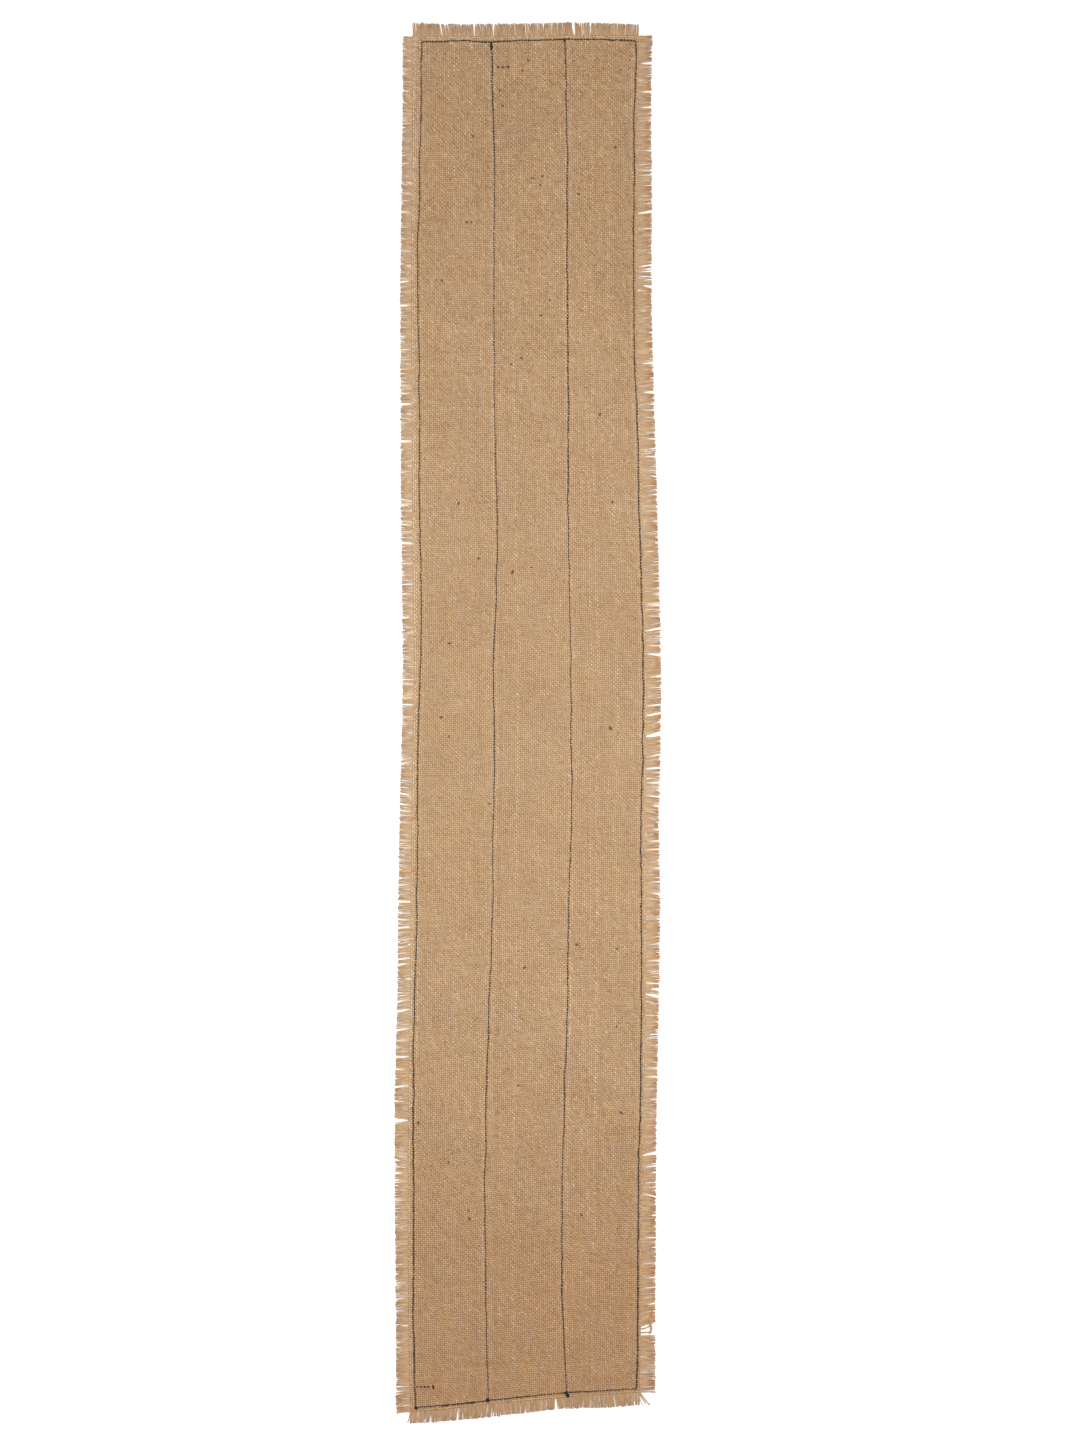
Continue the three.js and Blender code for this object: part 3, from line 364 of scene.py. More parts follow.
def jute(name, stretch, red=(0.42, 0.205, 0.088)):
    """Jute yarn: a straw to tan to reddish brown range picked by each yarn's own tone, fine
    fibre streaks along the yarn, and the odd dark or pale fleck."""
    m, nt, bsdf = nodes_of(name)
    geo = nt.nodes.new("ShaderNodeTexCoord")
    tone = add(nt, "ShaderNodeAttribute", attribute_name="tone")
    sep = nt.nodes.new("ShaderNodeSeparateColor")
    nt.links.new(tone.outputs["Color"], sep.inputs[0])
    base = ramp(
        nt,
        [
            (0.00, (0.225 * GAIN, 0.126 * GAIN, 0.057 * GAIN)),
            (0.30, (0.362 * GAIN, 0.228 * GAIN, 0.116 * GAIN)),
            (0.55, (0.445 * GAIN, 0.295 * GAIN, 0.161 * GAIN)),
            (0.80, (0.535 * GAIN, 0.370 * GAIN, 0.213 * GAIN)),
            (1.00, (0.670 * GAIN, 0.500 * GAIN, 0.320 * GAIN)),
        ],
    )
    # fibre streaks
    mp = add(nt, "ShaderNodeMapping")
    mp.inputs["Scale"].default_value = stretch
    nt.links.new(geo.outputs["Object"], mp.inputs["Vector"])
    fine = add(nt, "ShaderNodeTexNoise", Scale=1.0, Detail=3.0, Roughness=0.65)
    nt.links.new(mp.outputs[0], fine.inputs["Vector"])
    patch = add(nt, "ShaderNodeTexNoise", Scale=11.0, Detail=2.0, Roughness=0.5)
    nt.links.new(geo.outputs["Object"], patch.inputs["Vector"])
    # tone + streaks + patches
    a = add(nt, "ShaderNodeMath", operation="MULTIPLY_ADD")
    nt.links.new(fine.outputs[0], a.inputs[0])
    a.inputs[1].default_value = 0.46
    nt.links.new(sep.outputs[0], a.inputs[2])
    b = add(nt, "ShaderNodeMath", operation="MULTIPLY_ADD")
    nt.links.new(patch.outputs[0], b.inputs[0])
    b.inputs[1].default_value = 0.22
    nt.links.new(a.outputs[0], b.inputs[2])
    c = add(nt, "ShaderNodeMath", operation="SUBTRACT")
    nt.links.new(b.outputs[0], c.inputs[0])
    c.inputs[1].default_value = 0.34
    c.use_clamp = True
    nt.links.new(c.outputs[0], base.inputs[0])
    # red-brown yarns and slubs
    reddish = mix(nt, "MIX", sep.outputs[1], base.outputs[0], red)
    # the third tone channel darkens the colour: painted shade in the dips and gaps of the weave and at the fringe
    # tips, and the real dark of bark flecks
    dark = mix(nt, "MULTIPLY", sep.outputs[2], reddish, (0.66, 0.55, 0.42))
    nt.links.new(dark, bsdf.inputs["Base Color"])
    rough = add(nt, "ShaderNodeMapRange")
    nt.links.new(fine.outputs[0], rough.inputs[0])
    rough.inputs["To Min"].default_value = 0.78
    rough.inputs["To Max"].default_value = 0.98
    nt.links.new(rough.outputs[0], bsdf.inputs["Roughness"])
    bsdf.inputs["Specular IOR Level"].default_value = 0.22
    bsdf.inputs["Sheen Weight"].default_value = 0.12
    bsdf.inputs["Sheen Roughness"].default_value = 0.6
    bump = add(nt, "ShaderNodeBump", Strength=0.6, Distance=0.00022)
    nt.links.new(fine.outputs[0], bump.inputs["Height"])
    nt.links.new(bump.outputs[0], bsdf.inputs["Normal"])
    return m


def thread_material():
    m, nt, bsdf = nodes_of("dark_sewing_thread")
    geo = nt.nodes.new("ShaderNodeTexCoord")
    mp = add(nt, "ShaderNodeMapping")
    mp.inputs["Rotation"].default_value = (0, 0, 0.6)
    mp.inputs["Scale"].default_value = (1400, 900, 900)
    nt.links.new(geo.outputs["Object"], mp.inputs["Vector"])
    fine = add(nt, "ShaderNodeTexNoise", Scale=1.0, Detail=2.0, Roughness=0.6)
    nt.links.new(mp.outputs[0], fine.inputs["Vector"])
    tone = add(nt, "ShaderNodeAttribute", attribute_name="tone")
    sep = nt.nodes.new("ShaderNodeSeparateColor")
    nt.links.new(tone.outputs["Color"], sep.inputs[0])
    s = add(nt, "ShaderNodeMath", operation="MULTIPLY_ADD")
    nt.links.new(fine.outputs[0], s.inputs[0])
    s.inputs[1].default_value = 0.6
    nt.links.new(sep.outputs[0], s.inputs[2])
    s.use_clamp = True
    r = ramp(nt, [(0.2, (0.010, 0.0065, 0.0045)), (0.6, (0.030, 0.019, 0.013)), (1.0, (0.085, 0.056, 0.038))])
    nt.links.new(s.outputs[0], r.inputs[0])
    nt.links.new(r.outputs[0], bsdf.inputs["Base Color"])
    rough = add(nt, "ShaderNodeMapRange")
    nt.links.new(fine.outputs[0], rough.inputs[0])
    rough.inputs["To Min"].default_value = 0.62
    rough.inputs["To Max"].default_value = 0.85
    nt.links.new(rough.outputs[0], bsdf.inputs["Roughness"])
    bsdf.inputs["Specular IOR Level"].default_value = 0.3
    bsdf.inputs["Sheen Weight"].default_value = 0.08
    bump = add(nt, "ShaderNodeBump", Strength=0.5, Distance=0.00012)
    nt.links.new(fine.outputs[0], bump.inputs["Height"])
    nt.links.new(bump.outputs[0], bsdf.inputs["Normal"])
    return m


WARP_JUTE = jute("jute_warp", (2300, 110, 1500))
WEFT_JUTE = jute("jute_weft", (110, 2300, 1500))
ORANGE = (0.50, 0.262, 0.118)
FRINGE_X = jute("jute_fringe_across", (160, 2600, 2000), red=ORANGE)
FRINGE_Y = jute("jute_fringe_lengthwise", (2600, 160, 2000), red=ORANGE)
THREAD = thread_material()
RED_JUTE = jute("jute_red_slub", (900, 900, 1500), red=(0.36, 0.115, 0.045))

# ------------------------------------------------------------------ woven ground
rng = np.random.default_rng(20240)
u_mid = (np.arange(NU) + 0.5) / NU
v_mid = (np.arange(NV) + 0.5) / NV


def crossing_fields(seed, along, slanted):
    """Uneven yarn, crossing by crossing, as (warp, weft) arrays: how pale or dark each one
    is, a little alike along the warp and along the slant of the twist, and bits of bark."""
    r = np.random.default_rng(seed)
    w = r.normal(0, 1, (NU + 4, NV + 4))
    g = np.zeros((NU, NV))
    for di, dj, k in ((0, 0, 1.0), (0, 1, along), (0, -1, along), (1, -1, slanted), (-1, 1, slanted)):
        g += k * w[2 + di : 2 + di + NU, 2 + dj : 2 + dj + NV]
    g /= g.std()
    g = np.where(g < 0, g * 1.2, g * 0.85)
    f = np.where(r.random((NU, NV)) < 0.03, r.uniform(0.25, 0.8, (NU, NV)), 0)
    return g, f


WARP_GRAIN, WARP_FLECK = crossing_fields(99, 0.22, 0.10)
WEFT_GRAIN, WEFT_FLECK = crossing_fields(98, 0.0, 0.10)
SLANT, LIFT, GRAIN_TONE = 0.23, 0.10, 0.088


def warmth(y):
    """How much redder the jute is: none in the middle, a little at the head, most at the foot."""
    return np.interp(y, [-900, -825, -625, -425, 425, 625, 825], [0.36, 0.33, 0.19, 0.05, 0.0, 0.09, 0.10])


def painted_middle_light(y):
    """Painted light: a little paler towards the middle, a pool of light over the middle of the runner."""
    return np.interp(y, [-825, -625, -425, -225, 0, 425, 625, 825], [0.0, 0.025, 0.075, 0.08, 0.06, 0.05, 0.04, 0.03])


def slubs(rng, n, s, share, longest):
    """Thick places on some yarns: how much thicker, 0 where even."""
    out = np.zeros((n, len(s)))
    for i in np.nonzero(rng.random(n) < share)[0]:
        for _ in range(rng.integers(1, 4)):
            at, half = rng.uniform(s[0], s[-1]), rng.uniform(4, longest)
            out[i] += rng.uniform(0.2, 0.75) * np.exp(-(((s - at) / half) ** 2))
    return np.minimum(out, 0.8)


def yarn_set(warp):
    n, cross = (NU, NV) if warp else (NV, NU)
    mids = v_mid if warp else u_mid
    other = u_mid if warp else v_mid
    t = np.stack([mids - 0.25 / cross, mids + 0.25 / cross], 1).reshape(-1)
    t = np.concatenate([[0.0], t, [1.0]])
    s = t * (1795 if warp else 305)
    i = np.arange(n)[:, None]
    j = np.repeat(np.arange(cross), 2)[None, :]
    j = np.concatenate([[[0]], j, [[cross - 1]]], 1)
    sign = np.where((i + j) % 2 == 0, 1.0, -1.0) * (1 if warp else -1)
    sign[:, 0] *= 0.3
    sign[:, -1] *= 0.3
    if warp:
        x, y = cloth_point(other[:, None] + 0 * t, t[None, :] + 0 * other[:, None])
    else:
        x, y = cloth_point(t[None, :] + 0 * other[:, None], other[:, None] + 0 * t)
    wob = wander(rng, n, s, (46, 23, 11), 0.085)
    twist = wander(rng, n, s, (3.1, 5.3), 0.05)
    # the slant that the twist gives each float: its two ends lie a little to either side
    slant = np.tile([-SLANT, SLANT], cross)
    slant = np.concatenate([[0], slant, [0]])[None, :] * np.where(sign > 0, 1, -0.4)
    if warp:
        x = x + wob + twist - slant
    else:
        y = y + wob + twist - slant
    # the last yarns at an edge lie flatter, with nothing beyond to hold them up
    rim = np.minimum(np.minimum(other, 1 - other)[:, None] * (NU if warp else NV), np.minimum(t, 1 - t)[None, :] * (NV if warp else NU))
    sq = squeeze(x, y) * np.clip(0.5 + 0.3 * rim, 0.55, 1)
    sl = slubs(rng, n, s, 0.55 if warp else 0.3, 26 if warp else 16)
    size = rng.normal(0, 0.075, (n, 1)).clip(-0.17, 0.2)
    W = W_YARN * (1 + size + wander(rng, n, s, (60, 27, 9), 0.05) + 0.35 * sl)
    H = H_YARN * (1 + 0.6 * size + wander(rng, n, s, (50, 17), 0.06) + 0.55 * sl) * (0.55 + 0.45 * sq)
    grain = WARP_GRAIN if warp else WEFT_GRAIN.T
    grain = np.concatenate([grain[:, :1], np.repeat(grain, 2, 1), grain[:, -1:]], 1)
    fleck = WARP_FLECK if warp else WEFT_FLECK.T
    fleck = np.concatenate([fleck[:, :1], np.repeat(fleck, 2, 1), fleck[:, -1:]], 1)
    rise = AMP * (1.12 if warp else 0.88)
    z = ripple(x, y) + rise * sign * sq * (1 + wander(rng, n, s, (19, 7), 0.08) + 0.25 * grain)
    tone = np.zeros((n, len(t), 3))
    # painted light and shade: LIFT paints the warp yarns paler and the weft yarns darker, for the contrast of the
    # higher and lower crowns
    own = rng.normal(0.5, 0.040 if warp else 0.022, (n, 1)) + (LIFT if warp else -LIFT)
    odd = rng.random((n, 1))
    own = np.where(odd < 0.04, own - 0.07, np.where(odd > 0.96, own + 0.08, own))
    # painted light in this tone: the seam ridge highlight, the paler middle, and the paler last yarns at the edges,
    # which lift the shade along the edge; own tone, slubs and grain are the yarn's own colour
    tone[..., 0] = own + wander(rng, n, s, (240, 90, 31), 0.03) + 0.05 * sl + GRAIN_TONE * (1 + 0.75 * np.abs(y) / 880) * grain + 0.14 * seam_ridge_highlight(x, y) + painted_middle_light(y) + 0.10 * np.clip(1.6 - rim, 0, 1)
    redness = (rng.random((n, 1)) ** 5) * 0.25 + 0.08 * np.maximum(0, wander(rng, n, s, (150, 60), 0.6)) + 0.12 * sl
    tone[..., 1] = (redness + fleck + warmth(y)).clip(0, 0.95)
    # painted shade: down at the crossings, where it dips under its neighbour, the yarn is painted darker; the bark
    # flecks add their own dark
    tone[..., 2] = np.where(sign > 0, 0.0, 0.45) + 0.3 * fleck
    C = np.stack([x, y, z], -1)
    return C, W, H, tone


def split(C, W, H, tone, parts):
    edges = np.linspace(0, len(C), parts + 1).round().astype(int)
    return [(C[a:b], W[a:b], H[a:b], tone[a:b]) for a, b in zip(edges[:-1], edges[1:])]


def inner_sheet():
    """A thin closed sheet inside the weave, between the two yarn layers, coloured dark: painted shade for the gaps
    between the yarns.
    """
    nu, nv = 44, 258
    u = np.linspace(0.004, 0.996, nu)[:, None] + np.zeros((1, nv))
    v = np.linspace(0.0008, 0.9992, nv)[None, :] + np.zeros((nu, 1))
    x, y = cloth_point(u, v)
    z = ripple(x, y)
    top = np.stack([x, y, z + 0.08], -1)
    low = np.stack([x, y, z - 0.08], -1)
    V = np.concatenate([top.reshape(-1, 3), low.reshape(-1, 3)]) * MM
    idx = np.arange(nu * nv).reshape(nu, nv)
    a, b, c, d = idx[:-1, :-1], idx[1:, :-1], idx[1:, 1:], idx[:-1, 1:]
    up = np.stack([a, b, c, d], -1).reshape(-1, 4)
    dn = np.stack([a, d, c, b], -1).reshape(-1, 4) + nu * nv
    ring = np.concatenate([idx[:, 0], idx[-1, 1:], idx[-2::-1, -1], idx[0, -2:0:-1]])
    nxt = np.roll(ring, -1)
    rim = np.stack([ring, ring + nu * nv, nxt + nu * nv, nxt], -1)
    faces = np.concatenate([up, dn, rim])
    me = bpy.data.meshes.new("ground_weave")
    me.vertices.add(len(V))
    me.vertices.foreach_set("co", V.reshape(-1).astype(np.float32))
    me.loops.add(faces.size)
    me.loops.foreach_set("vertex_index", faces.reshape(-1).astype(np.int32))
    me.polygons.add(len(faces))
    me.polygons.foreach_set("loop_start", (np.arange(len(faces)) * 4).astype(np.int32))
    me.polygons.foreach_set("use_smooth", np.ones(len(faces), bool))
    uv = np.zeros((len(V), 2))
    uv[: nu * nv] = np.stack([u * 0.48 + 0.01, v * 0.98 + 0.01], -1).reshape(-1, 2)
    uv[nu * nv :] = np.stack([u * 0.48 + 0.51, v * 0.98 + 0.01], -1).reshape(-1, 2)
    per = uv[faces.reshape(-1)].reshape(-1, 4, 2)
    r = len(rim)
    per[-r:, 1:3, 0] = per[-r:, [0, 3], 0]
    per[-r:, 1:3, 1] = per[-r:, [0, 3], 1]
    per[-r:, 1:3, 0] += 0.002
    layer = me.uv_layers.new(name="OFBake")
    layer.data.foreach_set("uv", per.reshape(-1).astype(np.float32))
    tone = np.ones((len(V), 4), np.float32)
    # painted shade: dark and deeply darkened, for the shade seen through the gaps of the weave
    tone[:, :3] = (0.36, 0.22, 0.75)
    at = me.color_attributes.new("tone", "FLOAT_COLOR", "POINT")
    at.data.foreach_set("color", tone.reshape(-1))
    me.update(calc_edges=True)
    ob = bpy.data.objects.new("ground_weave", me)
    collection.objects.link(ob)
    return ob


sheet = show(inner_sheet(), WEFT_JUTE, ["ground_cloth"])
WARP_PARTS, WEFT_PARTS = 7, 7
for n, part in enumerate(split(*yarn_set(True), WARP_PARTS)):
    ob = tubes(f"warp_yarns_{n + 1}", *part[:3], tone=part[3])
    show(ob, WARP_JUTE)
for n, part in enumerate(split(*yarn_set(False), WEFT_PARTS)):
    ob = tubes(f"weft_yarns_{n + 1}", *part[:3], tone=part[3])
    show(ob, WEFT_JUTE)


# ------------------------------------------------------------------ fringes
def leaning(s, slits, reach=9.0):
    """How far the tips lean along the edge, which follows the slant of the slits nearby."""
    total, weight = np.zeros(len(s)), np.full(len(s), 0.6)
    for a, b, t0, t1, w in slits:
        slope = np.clip((b - a) / max(0.3, t1 - t0), -5, 5)
        k = w * np.exp(-(((s - (a + b) / 2) / reach) ** 2))
        total += k * slope
        weight += k
    return total / weight


def open_slits(along, tt, slits, reach=3.4):
    """Push strands off the middle of every slit, at the depths where it is open. Returns
    their new places and how much paler the thinned out fibres are painted there: painted light for the pale floor
    showing through them."""
    move, thin = np.zeros_like(along), np.zeros_like(along)
    for a, b, t0, t1, w in slits:
        near = np.nonzero(np.abs(along[:, -1] - (a + b) / 2) < 22)[0]
        t = tt[near]
        long = max(0.25, t1 - t0)
        c = a + (b - a) * (t - t0) / long
        c = np.clip(c, min(a, b) - 1.5, max(a, b) + 1.5)
        q = np.clip((t - t0 + 0.05) / long, 0, 1.2)
        if t1 >= 1:
            f = 1.45 * q**0.85
            wide = max(0.05, 0.56 * w - 0.27)
        else:
            f = np.sin(math.pi * np.clip(q, 0, 1)) ** 0.8 * 1.25
            wide = max(0.05, 0.44 * w - 0.2)
        # each strand stays on the side of the slit that it is on half-way up it
        k = np.abs(t - (t0 + t1) / 2).argmin(axis=1)
        d = (along[near] - c)[np.arange(len(near)), k][:, None]
        move[near] += np.sign(d) * wide * np.exp(-np.abs(d) / reach) * f
        thin[near] += np.clip(w, 0.6, 1.4) * np.exp(-((d / 1.3) ** 2)) * np.clip(f, 0, 1)
    return along + move, np.clip(thin, 0, 1.2)


def strands(s, root, tip, direction, slits, seed, across, keep=None, fibres=5, spread=2.35, width=0.80, scatter=0.24, longer=0.0, pale=0.0, grow=0.0, tips=1.0, warm=0.0, swept=None):
    """Free ends of the yarns of one edge. s are the yarns' places along the edge; root and
    tip give the edge and the cut line there. Each yarn opens into a few bundles of fibre."""
    rng = np.random.default_rng(seed)
    n = len(s)
    M = 10
    t = np.linspace(0, 1, M)[None, :]
    tt = t * np.ones((n, 1))
    lean = leaning(s, slits) + rng.normal(0, 0.25, n)
    if swept is not None:
        lean = lean + swept(s)
    bunch = 0.34 * np.sin(s / 4.1 + 2.0 * np.sin(s / 17.0)) + 0.2 * np.sin(s / 2.3 + 1.0)
    yarn_tone = rng.normal(0.50, 0.055, n)
    yarn_red = rng.random(n) ** 4 * 0.35
    # tips in small groups that are redder, their own colour, and darker, painted shade where the fibres cling
    # together
    tip_red = (0.42 + 0.38 * np.sin(s / 3.6 + 2.6 * np.sin(s / 21.0)) + rng.normal(0, 0.15, n)).clip(0.05, 1.0)
    yarn_len = rng.normal(0, 0.35, n) + 0.3 * np.sin(s / 6.1) * np.sin(s / 2.7)
    yarn_z = rng.uniform(-0.12, 0.2, n)
    Cs, Ws, Hs, Ts, own = [], [], [], [], []
    for f in range(fibres):
        lane = ((f + 0.5) / fibres - 0.5) * spread
        lane = lane + rng.normal(0, scatter, n)
        r0 = root(s)
        tp = tip(s + lean)
        length = np.abs(tp - r0) + yarn_len + rng.normal(0.1 + longer, 0.35, n)
        short = rng.random(n) < 0.09
        length = np.where(short, length - rng.uniform(1, 6, n), length)
        length = np.maximum(length, 4.0)
        # fibres leave the twisted yarn, spread, and gather again towards the cut end
        fan = 0.80 + 0.30 * np.sin(math.pi * np.clip(tt * 0.8, 0, 1)) ** 0.8
        gather = bunch[:, None] * tt**2.2
        wave = rng.normal(0, 0.28, (n, 1)) * np.sin(tt * rng.uniform(2.5, 7, (n, 1)) + rng.uniform(0, 6, (n, 1))) * tt
        stray = np.where(rng.random(n) < 0.05, rng.normal(0, 1.3, n), rng.normal(0, 0.18, n))
        along = s[:, None] + lane[:, None] * fan + lean[:, None] * tt**1.15 + gather + wave + stray[:, None] * tt**2
        along, thin = open_slits(along, tt, slits)
        out = r0[:, None] - direction * 2.6 + direction * (length[:, None] + 2.6) * tt
        if across:
            x, y = out, along
        else:
            x, y = along, out
        ground = ripple(x, y)
        drop = np.clip(tt * 1.6, 0, 1)
        z = ground * (1 - drop) + (0.62 + 0.35 * (ground - BASE_Z)) * drop
        z = z + (yarn_z + rng.uniform(-0.2, 0.26, n))[:, None] * (0.4 + 0.6 * tt) + (rng.random(n) ** 5 * 2.4)[:, None] * tt**2
        z = z - 0.12 * np.abs(lane)[:, None] * np.ones_like(tt)
        z = np.maximum(z, 0.30)
        w = width * rng.uniform(0.75, 1.2, (n, 1))
        h = 0.42 * rng.uniform(0.85, 1.2, (n, 1))
        taper = 1 - 0.22 * tt**6
        Cs.append(np.stack([x, y, z], -1))
        Ws.append(w * taper)
        Hs.append(h * taper * np.ones_like(tt))
        T = np.zeros((n, M, 3))
        ends = tip_red[:, None] * tips * smooth((tt - 0.45) / 0.45)
        # painted light: paler where the fibres thin out at a slit, for the pale floor showing through, and paler near
        # the root, lifting the shade where the strands leave the cloth
        T[..., 0] = (yarn_tone + rng.normal(0.10 + pale, 0.07, n))[:, None] + 0.04 * np.sin(math.pi * tt) + grow * tt + 0.26 * thin + 0.10 * (1 - smooth(tt / 0.3))
        T[..., 1] = (yarn_red[:, None] + warmth(y) + warm + ends * rng.uniform(0.6, 1.3, (n, 1)) - 0.25 * thin).clip(0, 0.95)
        T[..., 2] = (0.5 * ends * tt**2).clip(0, 0.6)
        Ts.append(T)
    C, W, H, T = (np.concatenate(q) for q in (Cs, Ws, Hs, Ts))
    if keep is not None:
        k = np.tile(keep(s), fibres)
        C, W, H, T = C[k], W[k], H[k], T[k]
    return C, W, H, T


def fringe(name, part, material, nodes):
    C, W, H, T = part
    ob = tubes(name, C, W, H, K=4, tone=T, seg=1)
    show(ob, material, nodes)
    return ob


_, wy_left = cloth_point(np.zeros(NV), v_mid)
_, wy_right = cloth_point(np.ones(NV), v_mid)
wx_head, _ = cloth_point(u_mid, np.ones(NU))
wx_foot, _ = cloth_point(u_mid, np.zeros(NU))
# the yarns that were drawn out of this gap in the right fringe
CURL_TOP, CURL_BOTTOM = -787.2, -799.2
SLITS_RIGHT = [q for q in SLITS_RIGHT if not (-806 < q[0] < -752)] + [
    [-770.2, -766.5, 0.3, 1.0, 1.0], [-761.0, -755.8, 0.45, 1.0, 1.5], [-778.6, -773.8, 0.3, 0.7, 0.8], [-806.5, -806.0, 0.5, 0.8, 0.6],
]


def swept(s):
    """The yarns above the gap lean away from it, most at its edge."""
    return np.where(s > -790, 6.4 * np.exp(-((np.maximum(0, s + 787.5) / 7.5) ** 2)), 0.0)


for half, near in (("foot", wy_left < 0), ("head", wy_left >= 0)):
    fringe(
        f"fringe_left_{half}_half_yarns",
        strands(wy_left[near], XL, TL, -1, SLITS_LEFT, 11 if half == "foot" else 15, True, longer=0.6, pale=0.05, grow=0.06, tips=0.75, warm=0.0),
        FRINGE_X,
        ["fringe_left"],
    )
for half, near in (("foot", wy_right < 0), ("head", wy_right >= 0)):
    fringe(
        f"fringe_right_{half}_half_yarns",
        strands(
            wy_right[near], XR, TR, 1, SLITS_RIGHT, 12 if half == "foot" else 16, True,
            keep=lambda s: (s > CURL_TOP) | (s < CURL_BOTTOM), longer=0.2, pale=0.0, grow=0.05, tips=1.25, warm=0.06, swept=swept,
        ),
        FRINGE_X,
        ["fringe_right"],
    )
fringe("fringe_head_yarns", strands(wx_head, YH, TH, 1, SLITS_HEAD, 13, False, fibres=6, width=0.76, longer=0.3, pale=-0.09, grow=0.05, tips=0.6, warm=0.08), FRINGE_Y, ["fringe_head"])
fringe("fringe_foot_yarns", strands(wx_foot, YF, TF, -1, SLITS_FOOT, 14, False, fibres=6, width=0.76, longer=-0.4, pale=-0.17, grow=0.15, tips=0.25, warm=0.0), FRINGE_Y, ["fringe_foot"])


# ------------------------------------------------------------------ seams
def run(points, step=0.5):
    """Points every step mm along a line."""
    p = np.array(points, float)
    d = np.concatenate([[0], np.cumsum(np.linalg.norm(np.diff(p, axis=0), axis=1))])
    s = np.arange(0, d[-1], step)
    return np.stack([np.interp(s, d, p[:, 0]), np.interp(s, d, p[:, 1])], -1), d[-1]


def stitched(line, pitch, width, seed, face=True, loose=0.0, tone=0.32, jitter=0.15, gap=0.13, heavy=None, sink=None):
    """Tubes for the stitches along a line: each rises out of one hole and dips into the
    next. On the underside they lie under the cloth."""
    rng = np.random.default_rng(seed)
    P, length = run(line, 0.25)
    n = max(1, int(round(length / pitch)))
    at = np.linspace(0, length, n + 1)
    at[1:-1] += rng.normal(0, pitch * 0.07, n - 1)
    M = 9
    t = np.linspace(0, 1, M)
    pad = gap * (1 + rng.normal(0, 0.25, (n, 1))) * pitch / 2
    S = (at[:-1, None] + pad) + (at[1:, None] - at[:-1, None] - 2 * pad) * t[None, :]
    grid = np.arange(len(P)) * 0.25
    x, y = np.interp(S, grid, P[:, 0]), np.interp(S, grid, P[:, 1])
    tx, ty = np.gradient(np.interp(S, grid, P[:, 0]), axis=1), np.gradient(np.interp(S, grid, P[:, 1]), axis=1)
    ln = np.hypot(tx, ty) + 1e-9
    nx, ny = -ty / ln, tx / ln
    hole = rng.normal(0, jitter, n + 1)
    # the line of holes wanders a little, as fed by hand
    for k, size in ((9.0, 0.24), (23.0, 0.30)):
        knots = rng.normal(0, size * 1.2, int(length / k) + 4)
        hole += np.interp(at, np.arange(len(knots)) * k - 5, knots)
    side = hole[:-1, None] * (1 - t) + hole[1:, None] * t
    side = side + 0.16 * (t - 0.5)[None, :] * 2 + rng.normal(0, 0.07, (n, 1)) * np.sin(math.pi * t)
    x, y = x + nx * side, y + ny * side
    arch = np.sin(math.pi * np.clip(t, 0.0, 1.0)) ** 0.45
    level = (0.74 if face else 0.80) + loose + rng.normal(0, 0.05, (n, 1))
    z = ripple(x, y) + (1 if face else -1) * (level * arch[None, :] - 0.25 * (1 - arch[None, :]))
    if not face:
        z = np.maximum(z, 0.44)
    W = width * (0.66 + 0.34 * np.sin(math.pi * t) ** 0.6)[None, :] * (1 + rng.normal(0, 0.11, (n, 1)))
    if heavy is not None:
        W = W * heavy(x, y)
    if sink is not None:
        z = z - sink(x)
    H = W * 0.72
    T = np.zeros((n, M, 3))
    # painted shade: each stitch is darker where it dips into its hole
    T[..., 0] = tone + rng.normal(0, 0.08, (n, 1)) - 0.12 * (1 - arch)
    return np.stack([x, y, z], -1), W, H, T


def seam(name, lines, node, pitch, width, seed, face=True, sinks=None, **kw):
    parts = [stitched(l, pitch, width, seed + 17 * i, face, sink=(sinks or {}).get(i), **kw) for i, l in enumerate(lines)]
    C, W, H, T = (np.concatenate(q) for q in zip(*parts))
    ob = tubes(name, C, W, H, K=6, tone=T, seg=1)
    show(ob, THREAD, [node])
    return ob


def lengthwise(f, a, b):
    y = np.arange(a, b, 3.0 * np.sign(b - a))
    return [(float(f(q)), float(q)) for q in y] + [(float(f(b)), float(b))]


def crosswise(f, a, b):
    x = np.arange(a, b, 3.0 * np.sign(b - a))
    return [(float(q), float(f(q))) for q in x] + [(float(b), float(f(b)))]


tl = (float(S_LEFT(889.0)), 889.4)
tr = (float(S_RIGHT(890.0)), 890.8)
br = (float(S_RIGHT(-869.0)), -868.9)
bl = (float(S_LEFT(-893.0)), -893.3)


def apart(x):
    """Half the distance between the two runs of the overlap at the foot: side by side
    near its start, one almost on the other nearer the corner."""
    return float(np.interp(x, [-148, -118, -110, -104, -100, -96, -70, -66], [0.0, 0.0, 0.55, 0.5, 0.05, 0.42, 0.5, 0.0]))


UP = 0.8
start_run = [(x, y + UP - apart(x)) for x, y in crosswise(S_FOOT, -69.0, bl[0])]
end_run = [(x, y + UP + apart(x)) for x, y in crosswise(S_FOOT, br[0], bl[0] + 1.5)]


def buried(x):
    """The first run sinks between the yarns where the second is sewn over it."""
    return 1.1 * smooth((-113.5 - x) / 5.0) * smooth((x + 143.0) / 3.0) + 0.9 * smooth((x + 104.0) / 1.5) * smooth((-98.4 - x) / 1.5)


def perimeter_weight(x, y):
    """How full the perimeter thread looks: fuller towards the foot end and at the head."""
    left = np.interp(y, [-880, -500, -200, 300, 800], [1.18, 1.16, 1.02, 0.92, 0.86])
    right = np.interp(y, [-860, -500, -200, 300, 800], [1.24, 1.18, 1.10, 1.02, 1.02])
    w = np.where(x > 0, right, left)
    w = np.where(y > 888, 1.16, w)
    return np.where(y < np.where(x > 0, -868.0, -884.0), 0.97, w)


